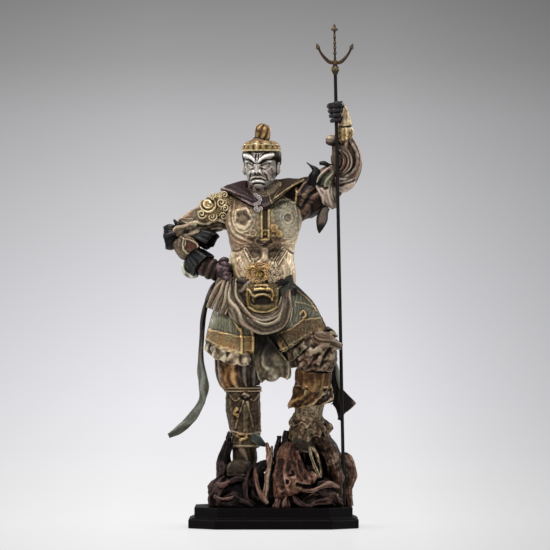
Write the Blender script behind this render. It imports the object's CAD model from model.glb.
# %% [markdown]
# A painted display figure of a lokapala, a guardian king, dressed for a photograph. The construction comes
# first as a fixed frame: plain faceted solids that say where each piece is and how big it is. This file
# makes the surface that the eye sees on them: carved armour, folded cloth, a face, bark and paint.
# Everything is in metres, +Z up, and the figure faces -Y.

# %% Load the frame
import math

import bpy
import numpy as np
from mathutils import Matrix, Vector


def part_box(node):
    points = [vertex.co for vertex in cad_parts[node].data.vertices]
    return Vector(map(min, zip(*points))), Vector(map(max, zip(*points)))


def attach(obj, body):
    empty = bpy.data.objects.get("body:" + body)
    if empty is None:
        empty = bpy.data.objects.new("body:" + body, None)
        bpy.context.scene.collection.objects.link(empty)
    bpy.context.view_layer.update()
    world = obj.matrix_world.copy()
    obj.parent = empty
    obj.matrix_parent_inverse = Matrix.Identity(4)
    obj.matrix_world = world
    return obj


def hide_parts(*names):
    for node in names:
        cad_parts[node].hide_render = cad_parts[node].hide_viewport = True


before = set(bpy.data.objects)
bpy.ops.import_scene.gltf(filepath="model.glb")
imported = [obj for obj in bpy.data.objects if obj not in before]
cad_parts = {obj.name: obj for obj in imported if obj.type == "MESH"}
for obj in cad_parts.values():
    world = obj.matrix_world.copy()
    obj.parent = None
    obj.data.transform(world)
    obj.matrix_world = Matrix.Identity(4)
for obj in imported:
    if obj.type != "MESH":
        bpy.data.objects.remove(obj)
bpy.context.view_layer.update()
scene = bpy.context.scene
BODY = "root"
MM = 0.001


def placed(name, data):
    """A new object in the scene."""
    made = bpy.data.objects.new(name, data)
    scene.collection.objects.link(made)
    return made


# %% [markdown]
# The camera stands more than two metres away and a little above the plinth, as for a catalogue picture. A
# long lens keeps the plinth's edges nearly level and the legs as long as the head is high. It is aimed at
# the middle of the picture, so it needs no shift.

# %% Camera
CAMERA_DISTANCE = 2.2
CAMERA_HEIGHT = 0.10
AIM = Vector((0.00075, 0, 0.1258))
FOCAL_MM = 288

camera = placed("camera", bpy.data.cameras.new("camera"))
camera.location = (AIM.x, -CAMERA_DISTANCE, CAMERA_HEIGHT)
camera.rotation_euler = (AIM - camera.location).to_track_quat("-Z", "Y").to_euler()
camera.data.lens = FOCAL_MM
camera.data.clip_start = 0.1
camera.data.clip_end = 20
scene.camera = camera
print("camera", CAMERA_DISTANCE, "m away with a", FOCAL_MM, "mm lens")

# %% [markdown]
# A material is a small network of nodes. These helpers keep it short: one makes a screen colour linear,
# one adds a node with its settings and links, and one starts a material.

# %% Small helpers for materials
def linear(colour):
    """An sRGB hex colour as linear red, green, blue and alpha."""
    channels = [int(colour[i:i + 2], 16) / 255 for i in (1, 3, 5)]
    return (*[c / 12.92 if c <= 0.04045 else ((c + 0.055) / 1.055) ** 2.4 for c in channels], 1)


def node(tree, kind, settings=None, stops=(), **links):
    """Adds a node. settings are its own properties, stops the (place, sRGB hex) pairs of a colour ramp, and
    links are values, sockets or nodes for its inputs, by name or as _ and a number."""
    made = tree.nodes.new(kind)
    for key, value in (settings or {}).items():
        setattr(made, key, value)
    for key, value in links.items():
        socket = made.inputs[int(key[1:])] if key[0] == "_" else made.inputs[key.replace("_", " ")]
        if isinstance(value, bpy.types.Node):
            value = value.outputs[0]
        if isinstance(value, bpy.types.NodeSocket):
            tree.links.new(value, socket)
        else:
            socket.default_value = value
    if stops:
        elements = made.color_ramp.elements
        elements[0].position, elements[1].position = stops[0][0], stops[-1][0]
        for place, _ in stops[1:-1]:
            elements.new(place)
        for element, (_, colour) in zip(elements, stops):
            element.color = linear(colour)
    return made


def new_material(name):
    """A material, its node tree and its main shader."""
    made = bpy.data.materials.new(name)
    made.use_nodes = True
    return made, made.node_tree, made.node_tree.nodes["Principled BSDF"]


# %% [markdown]
# The figure stands on studio paper. A lit sheet would show every lamp, so the paper glows by itself, with
# greys away from the camera and across. The floor adds a contact shadow and a faint gloss.

# %% Floor and backdrop
BACKDROP_AT = 3.2  # metres behind the figure
world = bpy.data.worlds.new("studio")
world.use_nodes = True
sky = world.node_tree.nodes["Background"].inputs
sky["Color"].default_value = linear("#c9c9cc")
sky["Strength"].default_value = 0.24
scene.world = world
scene.view_settings.view_transform = "Standard"


def grey_scale(tree, place, low, high, stops):
    """Greys along one axis, from (place, sRGB grey) pairs given in the axis's own metres."""
    share = node(tree, "ShaderNodeMapRange", Value=place, From_Min=low, From_Max=high)
    shares = [((at - low) / (high - low), "#%02x%02x%02x" % grey) for at, grey in stops]
    return node(tree, "ShaderNodeValToRGB", stops=shares, Fac=share).outputs["Color"]


def paper(name, upright):
    """Studio paper that runs up behind the figure. It glows evenly and darkens to the right and to the top,
    and the pool of light widens towards the back."""
    made, tree, _ = new_material(name)
    tree.nodes.clear()
    spot = node(tree, "ShaderNodeTexCoord")
    split = node(tree, "ShaderNodeSeparateXYZ", Vector=spot.outputs["Object"])
    if upright:
        tall = grey_scale(tree, split.outputs["Z"], 0, 0.55, [
            (0, (236, 235, 239)), (0.012, (235, 234, 238)), (0.073, (228, 227, 231)),
            (0.16, (216, 215, 219)), (0.258, (201, 201, 204)), (0.355, (182, 181, 183)),
            (0.43, (158, 157, 158)), (0.55, (127, 126, 126))])
    else:
        tall = grey_scale(tree, split.outputs["Y"], -0.3, BACKDROP_AT, [
            (-0.3, (242, 242, 243)), (0.05, (249, 248, 249)), (0.5, (246, 245, 246)),
            (1.4, (241, 240, 243)), (BACKDROP_AT, (237, 236, 240))])
    spread = node(tree, "ShaderNodeMath", {"operation": "MULTIPLY_ADD"}, _0=split.outputs["Y"], _1=0.219,
        _2=0.8)
    aside = node(tree, "ShaderNodeMath", {"operation": "DIVIDE"}, _0=split.outputs["X"],
        _1=spread.outputs[0])
    wide = grey_scale(tree, aside.outputs[0], -0.24, 0.24, [(place, (grey, grey, grey)) for place, grey in (
        (-0.24, 236), (-0.15, 249), (-0.1, 255), (0.0, 253), (0.09, 247), (0.15, 232), (0.24, 211))])
    colour = node(tree, "ShaderNodeMix", {"data_type": "RGBA", "blend_type": "MULTIPLY"}, _0=1.0, _6=tall,
        _7=wide)
    glow = node(tree, "ShaderNodeEmission", Color=colour.outputs[2], Strength=1.0)
    surface = glow.outputs["Emission"]
    if not upright:
        near = node(tree, "ShaderNodeAmbientOcclusion", {"samples": 8}, Distance=0.03)
        shade = node(tree, "ShaderNodeMapRange", Value=near.outputs["AO"], From_Min=0.4, From_Max=1.0,
            To_Min=0.82, To_Max=1.0)
        tree.links.new(shade.outputs["Result"], glow.inputs["Strength"])
        mirror = node(tree, "ShaderNodeBsdfGlossy", Color=linear("#ffffff"), Roughness=0.2)
        surface = node(tree, "ShaderNodeMixShader", _0=0.08, _1=surface, _2=mirror.outputs[0]).outputs[0]
    node(tree, "ShaderNodeOutputMaterial", Surface=surface)
    return made


def plane(name, corners, material):
    mesh = bpy.data.meshes.new(name)
    mesh.from_pydata(corners, [], [tuple(range(len(corners)))])
    mesh.materials.append(material)
    placed(name, mesh)


plane("backdrop", [
    (x, BACKDROP_AT, z) for x, z in ((-7, -1.4), (7, -1.4), (7, 5.6), (-7, 5.6))],
    paper("backdrop_paper", True))
plane("floor", [(-4, -4, 0), (4, -4, 0), (4, 3.16, 0), (-4, 3.16, 0)], paper("floor_paper", False))
print("paper ends", BACKDROP_AT, "m behind the figure")

# %% [markdown]
# A painted miniature is lit softly, or its relief breaks up into glints. One large lamp high on the left
# models it, a weaker one fills the right, one hangs above, and two behind edge it with light.

# %% Lamps
def softbox(name, at, size, power):
    lamp = bpy.data.lights.new(name, "AREA")
    lamp.size = size
    lamp.energy = power
    made = placed(name, lamp)
    made.location = at
    made.rotation_euler = (AIM - Vector(at)).to_track_quat("-Z", "Y").to_euler()


for name, at, size_m, watts in (("key", (-0.5, -0.75, 0.95), 0.28, 9.2),
        ("fill", (0.8, -0.9, 0.45), 0.6, 2.4), ("top", (0.05, -0.1, 1.1), 0.35, 7),
        ("rim_right", (0.75, 0.5, 0.45), 0.4, 4), ("rim_left", (-0.75, 0.5, 0.5), 0.4, 3)):
    softbox(name, at, size_m, watts)
    print("lamp", name, watts, "W")

# %% [markdown]
# The real figure is cast resin that was carved, then painted. What the eye reads as carving is relief from
# half a millimetre to two millimetres deep on forms like tubes, shells and sheets. It could be sculpted by
# hand. Here each form is a grid of points, rings along a smooth line, fine enough to carry the relief as
# real geometry, and every ridge, scale and fold is pushed out along the surface by a short rule. A grid is
# quick to bend and easy to measure, and its rules can be changed one by one.

# %% The shape the solids were drawn at
DRAWN_FIGURE_SPAN = 188.6  # mm, sole of the lower boot to the top of the raised fist, as drawn
DRAWN_PLINTH_TOP = 10.5  # mm
figure_low, figure_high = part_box("figure")
plinth_low, plinth_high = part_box("plinth")
scale = (figure_high.z - figure_low.z) / DRAWN_FIGURE_SPAN
FRONT = np.array([0.0, -1.0, 0.0])
UP = np.array([0.0, 0.0, 1.0])
print("figure drawn at", round(scale * 1000, 4), "of its size, plinth top at", round(plinth_high.z / MM, 2),
    "mm")


def to_frame(points):
    """Points drawn in mm, moved to where they are on the part in metres."""
    return (np.asarray(points) - [0, 0, DRAWN_PLINTH_TOP]) * scale + [0, 0, plinth_high.z]


# %% [markdown]
# Nothing carved by hand repeats exactly. So folds, scales and bark wander with smooth noise from a fixed
# seed, and three small rules make ridges, bars and soft steps.

# %% Smooth runs and noise
def smooth_run(points, at):
    """Points on the smooth curve through some points, for places at from 0 to 1 along it."""
    points = np.asarray(points, float)
    padded = np.vstack([2 * points[0] - points[1], points, 2 * points[-1] - points[-2]])
    place = np.clip(at, 0, 1) * (len(points) - 1)
    i = np.minimum(place.astype(int), len(points) - 2)
    w = (place - i)[:, None]
    a, b, c, d = (padded[i + k] for k in range(4))
    start, end = (c - a) / 2, (d - b) / 2
    return b + w * start + w**2 * (3 * (c - b) - 2 * start - end) + w**3 * (2 * (b - c) + start + end)


rng = np.random.default_rng(7)
DIRECTIONS = rng.normal(size=(256, 3))
DIRECTIONS /= np.linalg.norm(DIRECTIONS, axis=1)[:, None]
FULL_HEIGHT = 1.6  # brings the noise to about -1 to 1


def lumps(points, size, seed=0):
    """Smooth noise from about -1 to 1 with lumps of a size in mm, at points in mm."""
    at = points / size
    cell = np.floor(at).astype(np.int64)
    part = at - cell
    ease = part**3 * (part * (part * 6 - 15) + 10)
    total = np.zeros(points.shape[:-1])
    for corner in np.ndindex(2, 2, 2):
        c = cell + corner
        pick = (c[..., 0] * 73856093 ^ c[..., 1] * 19349663 ^ c[..., 2] * 83492791 ^ seed * 2654435) & 255
        weight = np.prod(np.where(corner, ease, 1 - ease), axis=-1)
        total += weight * ((part - corner) * DIRECTIONS[pick]).sum(-1)
    return total * FULL_HEIGHT


def ridge(value):
    """1 on the top of a ridge and 0 in the sharp valley, repeating each 1."""
    return np.abs(np.cos(np.pi * value))


def bump(distance, width):
    """Round-topped bar: 1 at distance 0, fading to 0 at the width."""
    return np.clip(1 - (distance / width) ** 2, 0, 1) ** 0.75


def step(value, soft=0.3):
    """0 below zero and 1 above it, eased over a soft width."""
    eased = np.clip(value / soft * 0.5 + 0.5, 0, 1)
    return eased * eased * (3 - 2 * eased)


# %% [markdown]
# A skin is the grid of points with four marks at each: gilding, a second colour, dirt and dry brushing. The
# paint reads them, so that colour follows the carving. Wear is what stands out from the same surface
# smoothed a few times.

# %% Skins: rings of points that carry relief
MOST_WEAR = 0.26  # how far one size of relief can move the wear
MARKS = ("gild", "tone", "soot", "brushed")


def unit(vectors):
    return vectors / np.maximum(np.linalg.norm(vectors, axis=-1, keepdims=True), 1e-9)


class Marked:
    """Something that keeps the four marks for each of its points, from 0 to 1."""

    def __init__(self, shape):
        self.gild, self.tone, self.soot, self.brushed = (np.zeros(shape) for _ in MARKS)

    def mark(self, **masks):
        """Strengthens marks up to a mask."""
        for name, mask in masks.items():
            setattr(self, name, np.maximum(getattr(self, name), mask))
        return self


class Skin(Marked):
    """A closed skin over rings of points, in drawn mm, with places along it and angles round it."""

    def __init__(self, co, along, angle):
        super().__init__(co.shape[:2])
        self.co, self.along, self.angle = co, along, angle

    x, y, z = (property(lambda self, axis=axis: self.co[..., axis]) for axis in range(3))

    def out(self):
        """Directions out of the surface."""
        round_way = np.roll(self.co, -1, 1) - np.roll(self.co, 1, 1)
        normal = unit(np.cross(round_way, np.gradient(self.co, axis=0)))
        outward = (normal * (self.co - self.co.mean(1, keepdims=True))).sum()
        return normal if outward > 0 else -normal

    def lift(self, height, **marks):
        """Pushes the surface out by a height in mm, and marks it."""
        self.co = self.co + self.out() * (np.zeros(self.co.shape[:2]) + height)[..., None]
        return self.mark(**marks)

    def not_below(self, height):
        """Flattens what hangs under a height."""
        self.z[:] = np.maximum(self.z, height)

    def worn(self):
        """0 in hollows, 0.5 on plain stretches and 1 on ridges, with extra dry brushing added."""
        normal, total, calm = self.out(), 0.5 + self.brushed, self.co
        for stride, turns, gain in ((1, 2, 1.5), (2, 3, 0.4), (4, 4, 0.1)):
            for _ in range(turns):
                padded = np.pad(calm, ((stride, stride), (0, 0), (0, 0)), mode="edge")
                sideways = np.roll(calm, stride, 1) + np.roll(calm, -stride, 1)
                calm = (sideways + padded[2 * stride:] + padded[:-2 * stride]) / 4
            total = total + MOST_WEAR * np.tanh(gain / MOST_WEAR * ((self.co - calm) * normal).sum(-1))
        return np.clip(total, 0, 1)

    def hollowed(self, wall, depth, rings=8):
        """Turns the last end into an open mouth: a lip, then a dark inside that goes back."""
        middle = self.co[-1].mean(0)
        back = unit(self.co[-8].mean(0) - middle)
        radius = np.linalg.norm(self.co[-1] - middle, axis=1).mean()
        inside = []
        for share in np.arange(1, rings + 1) / rings:
            shrink = 1 - (wall + share * wall) / radius
            inside.append(middle + (self.co[-1] - middle) * shrink + back * depth * share**1.3)
        along = np.concatenate([self.along, np.ones((rings, 1))])
        more = Skin(np.concatenate([self.co, inside]), along, self.angle)
        for name in MARKS:
            fresh = np.full((rings, self.co.shape[1]), float(name == "soot"))
            setattr(more, name, np.concatenate([getattr(self, name), fresh]))
        return more


# %% [markdown]
# Limbs, cords, edges and roots are all swept the same way: a few stations give the middle line, width and
# depth, and rings are laid along the smooth curve through them, as far apart as the points on each ring.

# %% Limbs from a few stations
GRAIN = 0.45  # mm between neighbouring points of a fine skin
FINE = 0.3  # mm, for small parts
THIN = 1.22  # widens the spacing of every limb


def sweep(stations, grain=GRAIN, front=FRONT, power=2.0, focus=0.0):
    """A limb through stations [x, y, z, a, b], as the solids have it: half-width a across the line of sight
    and half-depth b along it. A power over 2 squares it, and focus crowds the points towards the front."""
    stations = np.array(stations, float)
    fine = np.linspace(0, 1, 60 * len(stations))
    travelled = np.cumsum(np.linalg.norm(np.diff(smooth_run(stations, fine), axis=0), axis=1))
    travelled = np.concatenate([[0], travelled])
    rings = max(6, int(travelled[-1] / grain / THIN))
    t = np.interp(np.linspace(0, travelled[-1], rings + 1), travelled, fine)
    centre, size = smooth_run(stations[:, :3], t), smooth_run(stations[:, 3:], t)
    nudge = 1e-3
    tangent = unit(smooth_run(stations[:, :3], t + nudge) - smooth_run(stations[:, :3], t - nudge))
    side = unit(np.cross(tangent, front))
    face = np.cross(side, tangent)
    sides = max(10, int(2 * np.pi * size.max() / grain / THIN))
    even = np.arange(sides)[None] / sides * 2 * np.pi
    angle = even + focus * np.cos(even)

    def rounded(value):
        return np.sign(value) * np.abs(value) ** (2 / power)

    u = rounded(np.cos(angle)) * size[:, 0:1]
    v = rounded(np.sin(angle)) * size[:, 1:2]
    co = centre[:, None] + side[:, None] * u[..., None] + face[:, None] * v[..., None]
    return Skin(co, t[:, None], angle)


def small(stations):
    """A limb with finer points."""
    return sweep(stations, FINE)


def ball(at, half, grain):
    """An ellipsoid as a skin, standing up."""
    rings = max(6, int(np.pi * max(half) / grain))
    angle = np.arange(max(8, int(2 * np.pi * max(half[:2]) / grain)))[None]
    angle = angle / angle.size * 2 * np.pi
    tilt = (np.linspace(0.02, 0.98, rings) * np.pi)[:, None]
    ring = np.stack([np.sin(tilt) * np.cos(angle), np.sin(tilt) * np.sin(angle), -np.cos(tilt) + 0 * angle],
        -1)
    return Skin(ring * half + np.asarray(at, float), tilt / np.pi, angle)


# %% [markdown]
# Blender shows a mesh, not a grid. Neighbouring points become four-sided faces, a fan closes each end, and
# the marks go along as attributes. All faces point outwards, as on a solid that could be printed.

# %% From skins to a piece that Blender shows
def closed_faces(rings, sides, first):
    """Loops of quads between rings, and fans that close both ends, numbered from a first point."""
    r, s = np.meshgrid(np.arange(rings - 1), np.arange(sides), indexing="ij")
    a, b = r * sides + s, r * sides + (s + 1) % sides
    quads = np.stack([a, b, b + sides, a + sides], -1).reshape(-1, 4)
    ring = np.arange(sides)
    following = (ring + 1) % sides
    below, last = np.full(sides, rings * sides), (rings - 1) * sides
    fans = np.concatenate([
        np.stack([following, ring, below], -1), np.stack([last + ring, last + following, below + 1], -1)])
    return quads + first, fans + first


def raw_mesh(name, points, face_groups, marks):
    """A mesh object from points in metres, groups of faces with as many corners each, and named marks."""
    mesh = bpy.data.meshes.new(name)
    mesh.vertices.add(len(points))
    mesh.vertices.foreach_set("co", np.ascontiguousarray(points, np.float32).ravel())
    corners = np.concatenate([group.ravel() for group in face_groups])
    counts = np.concatenate([np.full(len(group), group.shape[1]) for group in face_groups])
    mesh.loops.add(len(corners))
    mesh.loops.foreach_set("vertex_index", corners.astype(np.int32))
    mesh.polygons.add(len(counts))
    mesh.polygons.foreach_set("loop_start", (np.cumsum(counts) - counts).astype(np.int32))
    mesh.polygons.foreach_set("loop_total", counts.astype(np.int32))
    mesh.update(calc_edges=True)
    for mark, values in marks.items():
        layer = mesh.attributes.new(mark, "FLOAT", "POINT")
        layer.data.foreach_set("value", np.ascontiguousarray(values, np.float32).ravel())
    mesh.shade_smooth()
    return placed(name, mesh)


def ready(made, material, cad_node):
    """Gives a finished object its paint and says what it rides on and stands for."""
    made.data.materials.clear()
    made.data.materials.append(material)
    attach(made, BODY)
    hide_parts(cad_node)
    print(made.name, "has", sum(len(p.vertices) - 2 for p in made.data.polygons), "triangles")


def piece(name, skins, material, cad_node="figure"):
    """One named object made of closed skins."""
    points, quads, fans, first = [], [], [], 0
    marks = {"worn": [], "gild": [], "tone": [], "soot": []}
    for skin in skins:
        rings, sides = skin.co.shape[:2]
        round_way = np.roll(skin.co, -1, 1) - np.roll(skin.co, 1, 1)
        inward = (np.cross(round_way, np.gradient(skin.co, axis=0)) * skin.out()).sum() < 0
        for store, faces in zip((quads, fans), closed_faces(rings, sides, first)):
            store.append(faces[:, ::-1] if inward else faces)
        points += [skin.co.reshape(-1, 3), skin.co[0].mean(0)[None], skin.co[-1].mean(0)[None]]
        values = {"worn": skin.worn(), "gild": skin.gild, "tone": skin.tone, "soot": skin.soot}
        for mark, value in values.items():
            marks[mark] += [value.ravel(), [value[0].mean()], [value[-1].mean()]]
        first += rings * sides + 2
    marks = {mark: np.concatenate(values) for mark, values in marks.items()}
    points = to_frame(np.concatenate(points))
    ready(raw_mesh(name, points, [np.concatenate(quads), np.concatenate(fans)], marks), material,
        cad_node)


# %% [markdown]
# The whole figure wears the same kind of finish in different colours: matt acrylic sprayed over resin, a
# thin dark wash that stays in the hollows, and a lighter or metallic colour dry-brushed over the ridges. So
# one recipe makes every paint. It reads the marks that the skins carry: how far a point stands out of its
# surroundings, where gilding lies, where a second colour lies, and where dirt or a dark inside is.

# %% The paint recipe
NOISE, MATH, MIX, RANGE, RAMP = ("ShaderNode" + kind for kind in ("TexNoise", "Math", "Mix", "MapRange",
    "ValToRGB"))
COLOUR_PLACES = (0.16, 0.46, 0.72, 1.0)  # wash, shade, base and ridge, from hollow to height
GOLD = "#1d1208 #6b5029 #a58650 #ecd7a4"
GOLD_PLACES = (0.12, 0.42, 0.7, 1.0)
HOLLOW_MM = 2.6  # how far the dark wash creeps out of a corner
SPECK_MM = 1.0  # uneven patches that a dry brush leaves
DRIFT_MM = 5  # warmer and cooler areas of the spray coat
CLOUD_MM = 9  # lighter and darker areas


def paint(name, colours, second=None, gold=GOLD, metal=0.25, rough=(0.72, 0.42), grain=0.42, gloss=0.16):
    """A washed and dry-brushed paint. colours and second are wash, shade, base and ridge colours; metal is
    how metallic its ridges are; rough is the roughness in hollows and on ridges; grain is how patchy the
    dry brushing is; gloss is its specular level."""
    made, tree, surface = new_material(name)
    spot = node(tree, "ShaderNodeTexCoord").outputs["Object"]
    marks = {mark: node(tree, "ShaderNodeAttribute", {"attribute_name": mark}).outputs["Fac"]
        for mark in ("worn", "gild", "tone", "soot")}

    speck = node(tree, NOISE, Vector=spot, Scale=1 / (SPECK_MM * MM), Detail=3.0, Roughness=0.6)
    cloud = node(tree, NOISE, Vector=spot, Scale=1 / (CLOUD_MM * MM), Detail=2.0)
    uneven = node(tree, MATH, {"operation": "MULTIPLY_ADD"}, _0=speck, _1=grain, _2=marks["worn"])
    uneven = node(tree, MATH, {"operation": "MULTIPLY_ADD"}, _0=cloud, _1=0.24, _2=uneven)
    height = node(tree, MATH, {"operation": "SUBTRACT", "use_clamp": True}, _0=uneven, _1=0.12 + grain / 2)
    colour = node(tree, RAMP, stops=list(zip(COLOUR_PLACES, colours.split())), Fac=height).outputs[0]
    if second:
        coat = node(tree, RAMP, stops=list(zip(COLOUR_PLACES, second.split())), Fac=height)
        colour = node(tree, MIX, {"data_type": "RGBA"}, _0=marks["tone"], _6=colour, _7=coat).outputs[2]
    gilt = node(tree, RAMP, stops=list(zip(GOLD_PLACES, gold.split())), Fac=height)
    patchy = node(tree, MATH, {"operation": "MULTIPLY_ADD"}, _0=speck, _1=0.5, _2=marks["gild"])
    gild = node(tree, RANGE, Value=patchy, From_Min=0.45, From_Max=0.75)
    colour = node(tree, MIX, {"data_type": "RGBA"}, _0=gild, _6=colour, _7=gilt).outputs[2]
    drift = node(tree, NOISE, Vector=spot, Scale=1 / (DRIFT_MM * MM), Detail=3.0, Roughness=0.55)
    tint = node(tree, RAMP, stops=[(0.34, "#8c9078"), (0.48, "#82807c"), (0.66, "#9c7866")], Fac=drift)
    colour = node(tree, MIX, {"data_type": "RGBA", "blend_type": "OVERLAY"}, _0=0.45, _6=colour,
        _7=tint).outputs[2]
    corner = node(tree, "ShaderNodeAmbientOcclusion", {"samples": 6}, Distance=HOLLOW_MM * MM).outputs["AO"]
    in_the_open = node(tree, RANGE, Value=corner, From_Min=0.1, From_Max=0.8)
    clean = node(tree, MATH, {"operation": "SUBTRACT", "use_clamp": True}, _0=in_the_open, _1=marks["soot"])
    washed = node(tree, MIX, {"data_type": "RGBA"}, _0=clean, _6=linear(colours.split()[0]), _7=colour)
    tree.links.new(washed.outputs[2], surface.inputs["Base Color"])
    ridges = node(tree, RANGE, Value=height, From_Min=0.35, From_Max=0.8, To_Max=metal)
    leaf = node(tree, MATH, {"operation": "MULTIPLY", "use_clamp": True}, _0=gild, _1=0.5)
    shine = node(tree, MATH, {"operation": "MAXIMUM", "use_clamp": True}, _0=ridges, _1=leaf)
    shine = node(tree, MATH, {"operation": "MULTIPLY", "use_clamp": True}, _0=shine, _1=clean)
    tree.links.new(shine.outputs[0], surface.inputs["Metallic"])
    matt = node(tree, RANGE, Value=height, From_Min=0.2, From_Max=0.8, To_Min=rough[0], To_Max=rough[1])
    tree.links.new(matt.outputs[0], surface.inputs["Roughness"])
    surface.inputs["Specular IOR Level"].default_value = gloss
    relief = node(tree, "ShaderNodeBump", Strength=0.35, Distance=0.12 * MM, Height=speck)
    tree.links.new(relief.outputs["Normal"], surface.inputs["Normal"])
    return made


# Champagne acrylic over resin, with a warm white brushed over it: a soft sheen on the ridges and none
# below. The second colour is the greener coat of the right breast.
armour_paint = paint("cuirass_champagne_paint", "#1b120c #6d5846 #b59e82 #f6e8d0",
    second="#181510 #615b4b #9e9783 #ddd4bf", metal=0.3)

# %% [markdown]
# Ornament on armour is drawn before it is cut. It is laid out here as seen from the front, in mm right of
# the middle plane and above the shelf, and then pushed out of the surface with its gilding and dirt. It
# fades out where the surface turns away.

# %% Ornament laid out as seen from the front
def near_line(x, z, points):
    """Distance in mm from a smooth line through points."""
    line = smooth_run(np.array(points, float), np.linspace(0, 1, 6 * len(points)))
    nearest = np.full(x.shape, 1e3)
    for (ax, az), (bx, bz) in zip(line[:-1], line[1:]):
        dx, dz = bx - ax, bz - az
        share = np.clip(((x - ax) * dx + (z - az) * dz) / (dx * dx + dz * dz + 1e-12), 0, 1)
        nearest = np.minimum(nearest, np.hypot(x - ax - share * dx, z - az - share * dz))
    return nearest


def off_centre(x, z, centre, half, corners=0, turned=0.0):
    """0 in the middle and 1 on the edge of an ellipse, or of a polygon with as many corners."""
    u, v = (x - centre[0]) / half[0], (z - centre[1]) / half[1]
    if not corners:
        return np.hypot(u, v)
    angles = turned + np.arange(corners) * 2 * np.pi / corners
    return np.max([u * np.cos(a) + v * np.sin(a) for a in angles], axis=0)


def scrolls(x, z, pitch, width=0.3):
    """Curled tendrils: a small spiral in every cell, turned and placed a little differently in each."""
    column, row = np.floor(x / pitch), np.floor(z / pitch)
    jitter = np.sin(column * 12.9 + row * 78.2) * 0.2
    u = (x / pitch - column - 0.5 - jitter) * pitch
    v = (z / pitch - row - 0.5 + jitter * 0.8) * pitch
    hand = np.where((column + row) % 2 > 0, 1, -1)
    gap = pitch * 0.26
    coil = np.hypot(u, v) - gap * (np.arctan2(v, u * hand) + jitter * 9) / (2 * np.pi)
    return bump((coil + gap / 2) % gap - gap / 2, width) * step(pitch * 0.56 - np.hypot(u, v), 0.4)


class Ornament(Marked):
    """Collects raised and sunk shapes on the side of a skin that faces one way, then pushes them out."""

    def __init__(self, skin, towards=FRONT, spread=0.35):
        super().__init__(skin.co.shape[:2])
        self.skin = skin
        self.x, self.y, self.z = np.moveaxis(skin.co, -1, 0)
        self.facing = step(skin.out() @ towards - 0.12, spread)
        self.height = np.zeros(self.x.shape)

    def add(self, amount, shape, **marks):
        shape = np.clip(shape, 0, 1) * self.facing
        self.height += amount * shape
        return self.mark(**{name: value * shape for name, value in marks.items()})

    def line(self, points, width=0.5, amount=0.4, **marks):
        return self.add(amount, bump(near_line(self.x, self.z, points), width), **marks)

    def lines(self, rows):
        """Lines from rows of points, half-width, height and gilding, or dirt for a sunk line."""
        for points, width, amount, *given in rows:
            self.line(points, width, amount, **{"gild" if amount > 0 else "soot": mark for mark in given})
        return self

    def push(self):
        return self.skin.lift(self.height, gild=self.gild, tone=self.tone, soot=self.soot)


# %% [markdown]
# The cuirass is a moulded breastplate with a disc on each breast, a strap between them, painted cartouches
# on the belly and thin gilt borders. Its body is one sweep from hips to neck, swollen at breasts and belly,
# and brighter at the sides, where a brush reaches it.

# %% The body of the cuirass
TORSO = [
    [-5.2, 1, 106, 18, 13.6],
    [-5.3, 0.4, 116, 16.8, 13.2],
    [-5.3, 0, 121.4, 16.4, 14],
    [-5.5, 0, 126, 16.6, 14.2],
    [-6, -1, 131, 16.4, 14.4],
    [-5.3, 0, 137, 15.6, 13.2],
    [-5.3, 0, 142, 16.6, 13.6],
    [-5.2, -1, 148, 18, 14.8],
    [-5.2, -1, 153.6, 18.6, 15.2],
    [-4.8, -0.2, 160.5, 17.4, 12.4],
    [-4.6, 0.6, 166.5, 14, 9],
    [-5.6, 1, 171.5, 7, 7],
]
BREASTS = ((-15.4, 153.8), (7.2, 154))
MIDDLE = -4.1  # the strap and belly ornament hang on this plane


def cuirass_body():
    body = sweep(TORSO, power=2.3, grain=0.31, focus=0.35)
    body.lift(0.25 * lumps(body.co, 12, 5))
    shape = Ornament(body)
    x, z = shape.x, shape.z
    for cx, cz in BREASTS:
        shape.add(2.2, np.exp(-(((x - cx) / 8.6) ** 2 + ((z - cz) / 8) ** 2) ** 1.6))
    shape.line([
        (-24, 150), (-21.4, 146), (-17, 143.4), (-11, 143.2), (MIDDLE, 144.4), (3, 143), (9, 143),
        (13, 147)], 1.2, -0.2)
    shape.add(1.2, np.exp(-((x - MIDDLE) / 10.5) ** 2 - ((z - 128.6) / 6.6) ** 2))
    body = shape.push().lift(0.2 * lumps(body.co, 2.6, 7) + 0.1 * lumps(body.co, 1.3, 8))
    plain = np.maximum(np.abs(body.x - MIDDLE) - 7, 0) + np.maximum(body.z - 144, 0)
    body.brushed = 0.22 * step(plain - 1.5, 3) * step(152 - body.z, 6)
    body.soot = 0.2 * step(8 - np.abs(body.x - MIDDLE), 3)
    body.brushed += 0.14 * step(body.x - MIDDLE - 8, 3)
    return body


# %% [markdown]
# The two breasts differ: one has a sunk five-sided shield, the other a greener coat with fine rings.
# Between them are a strap, a buckle and three rosettes. All are distances from a centre or from the strap,
# turned into raised bars.

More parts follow.
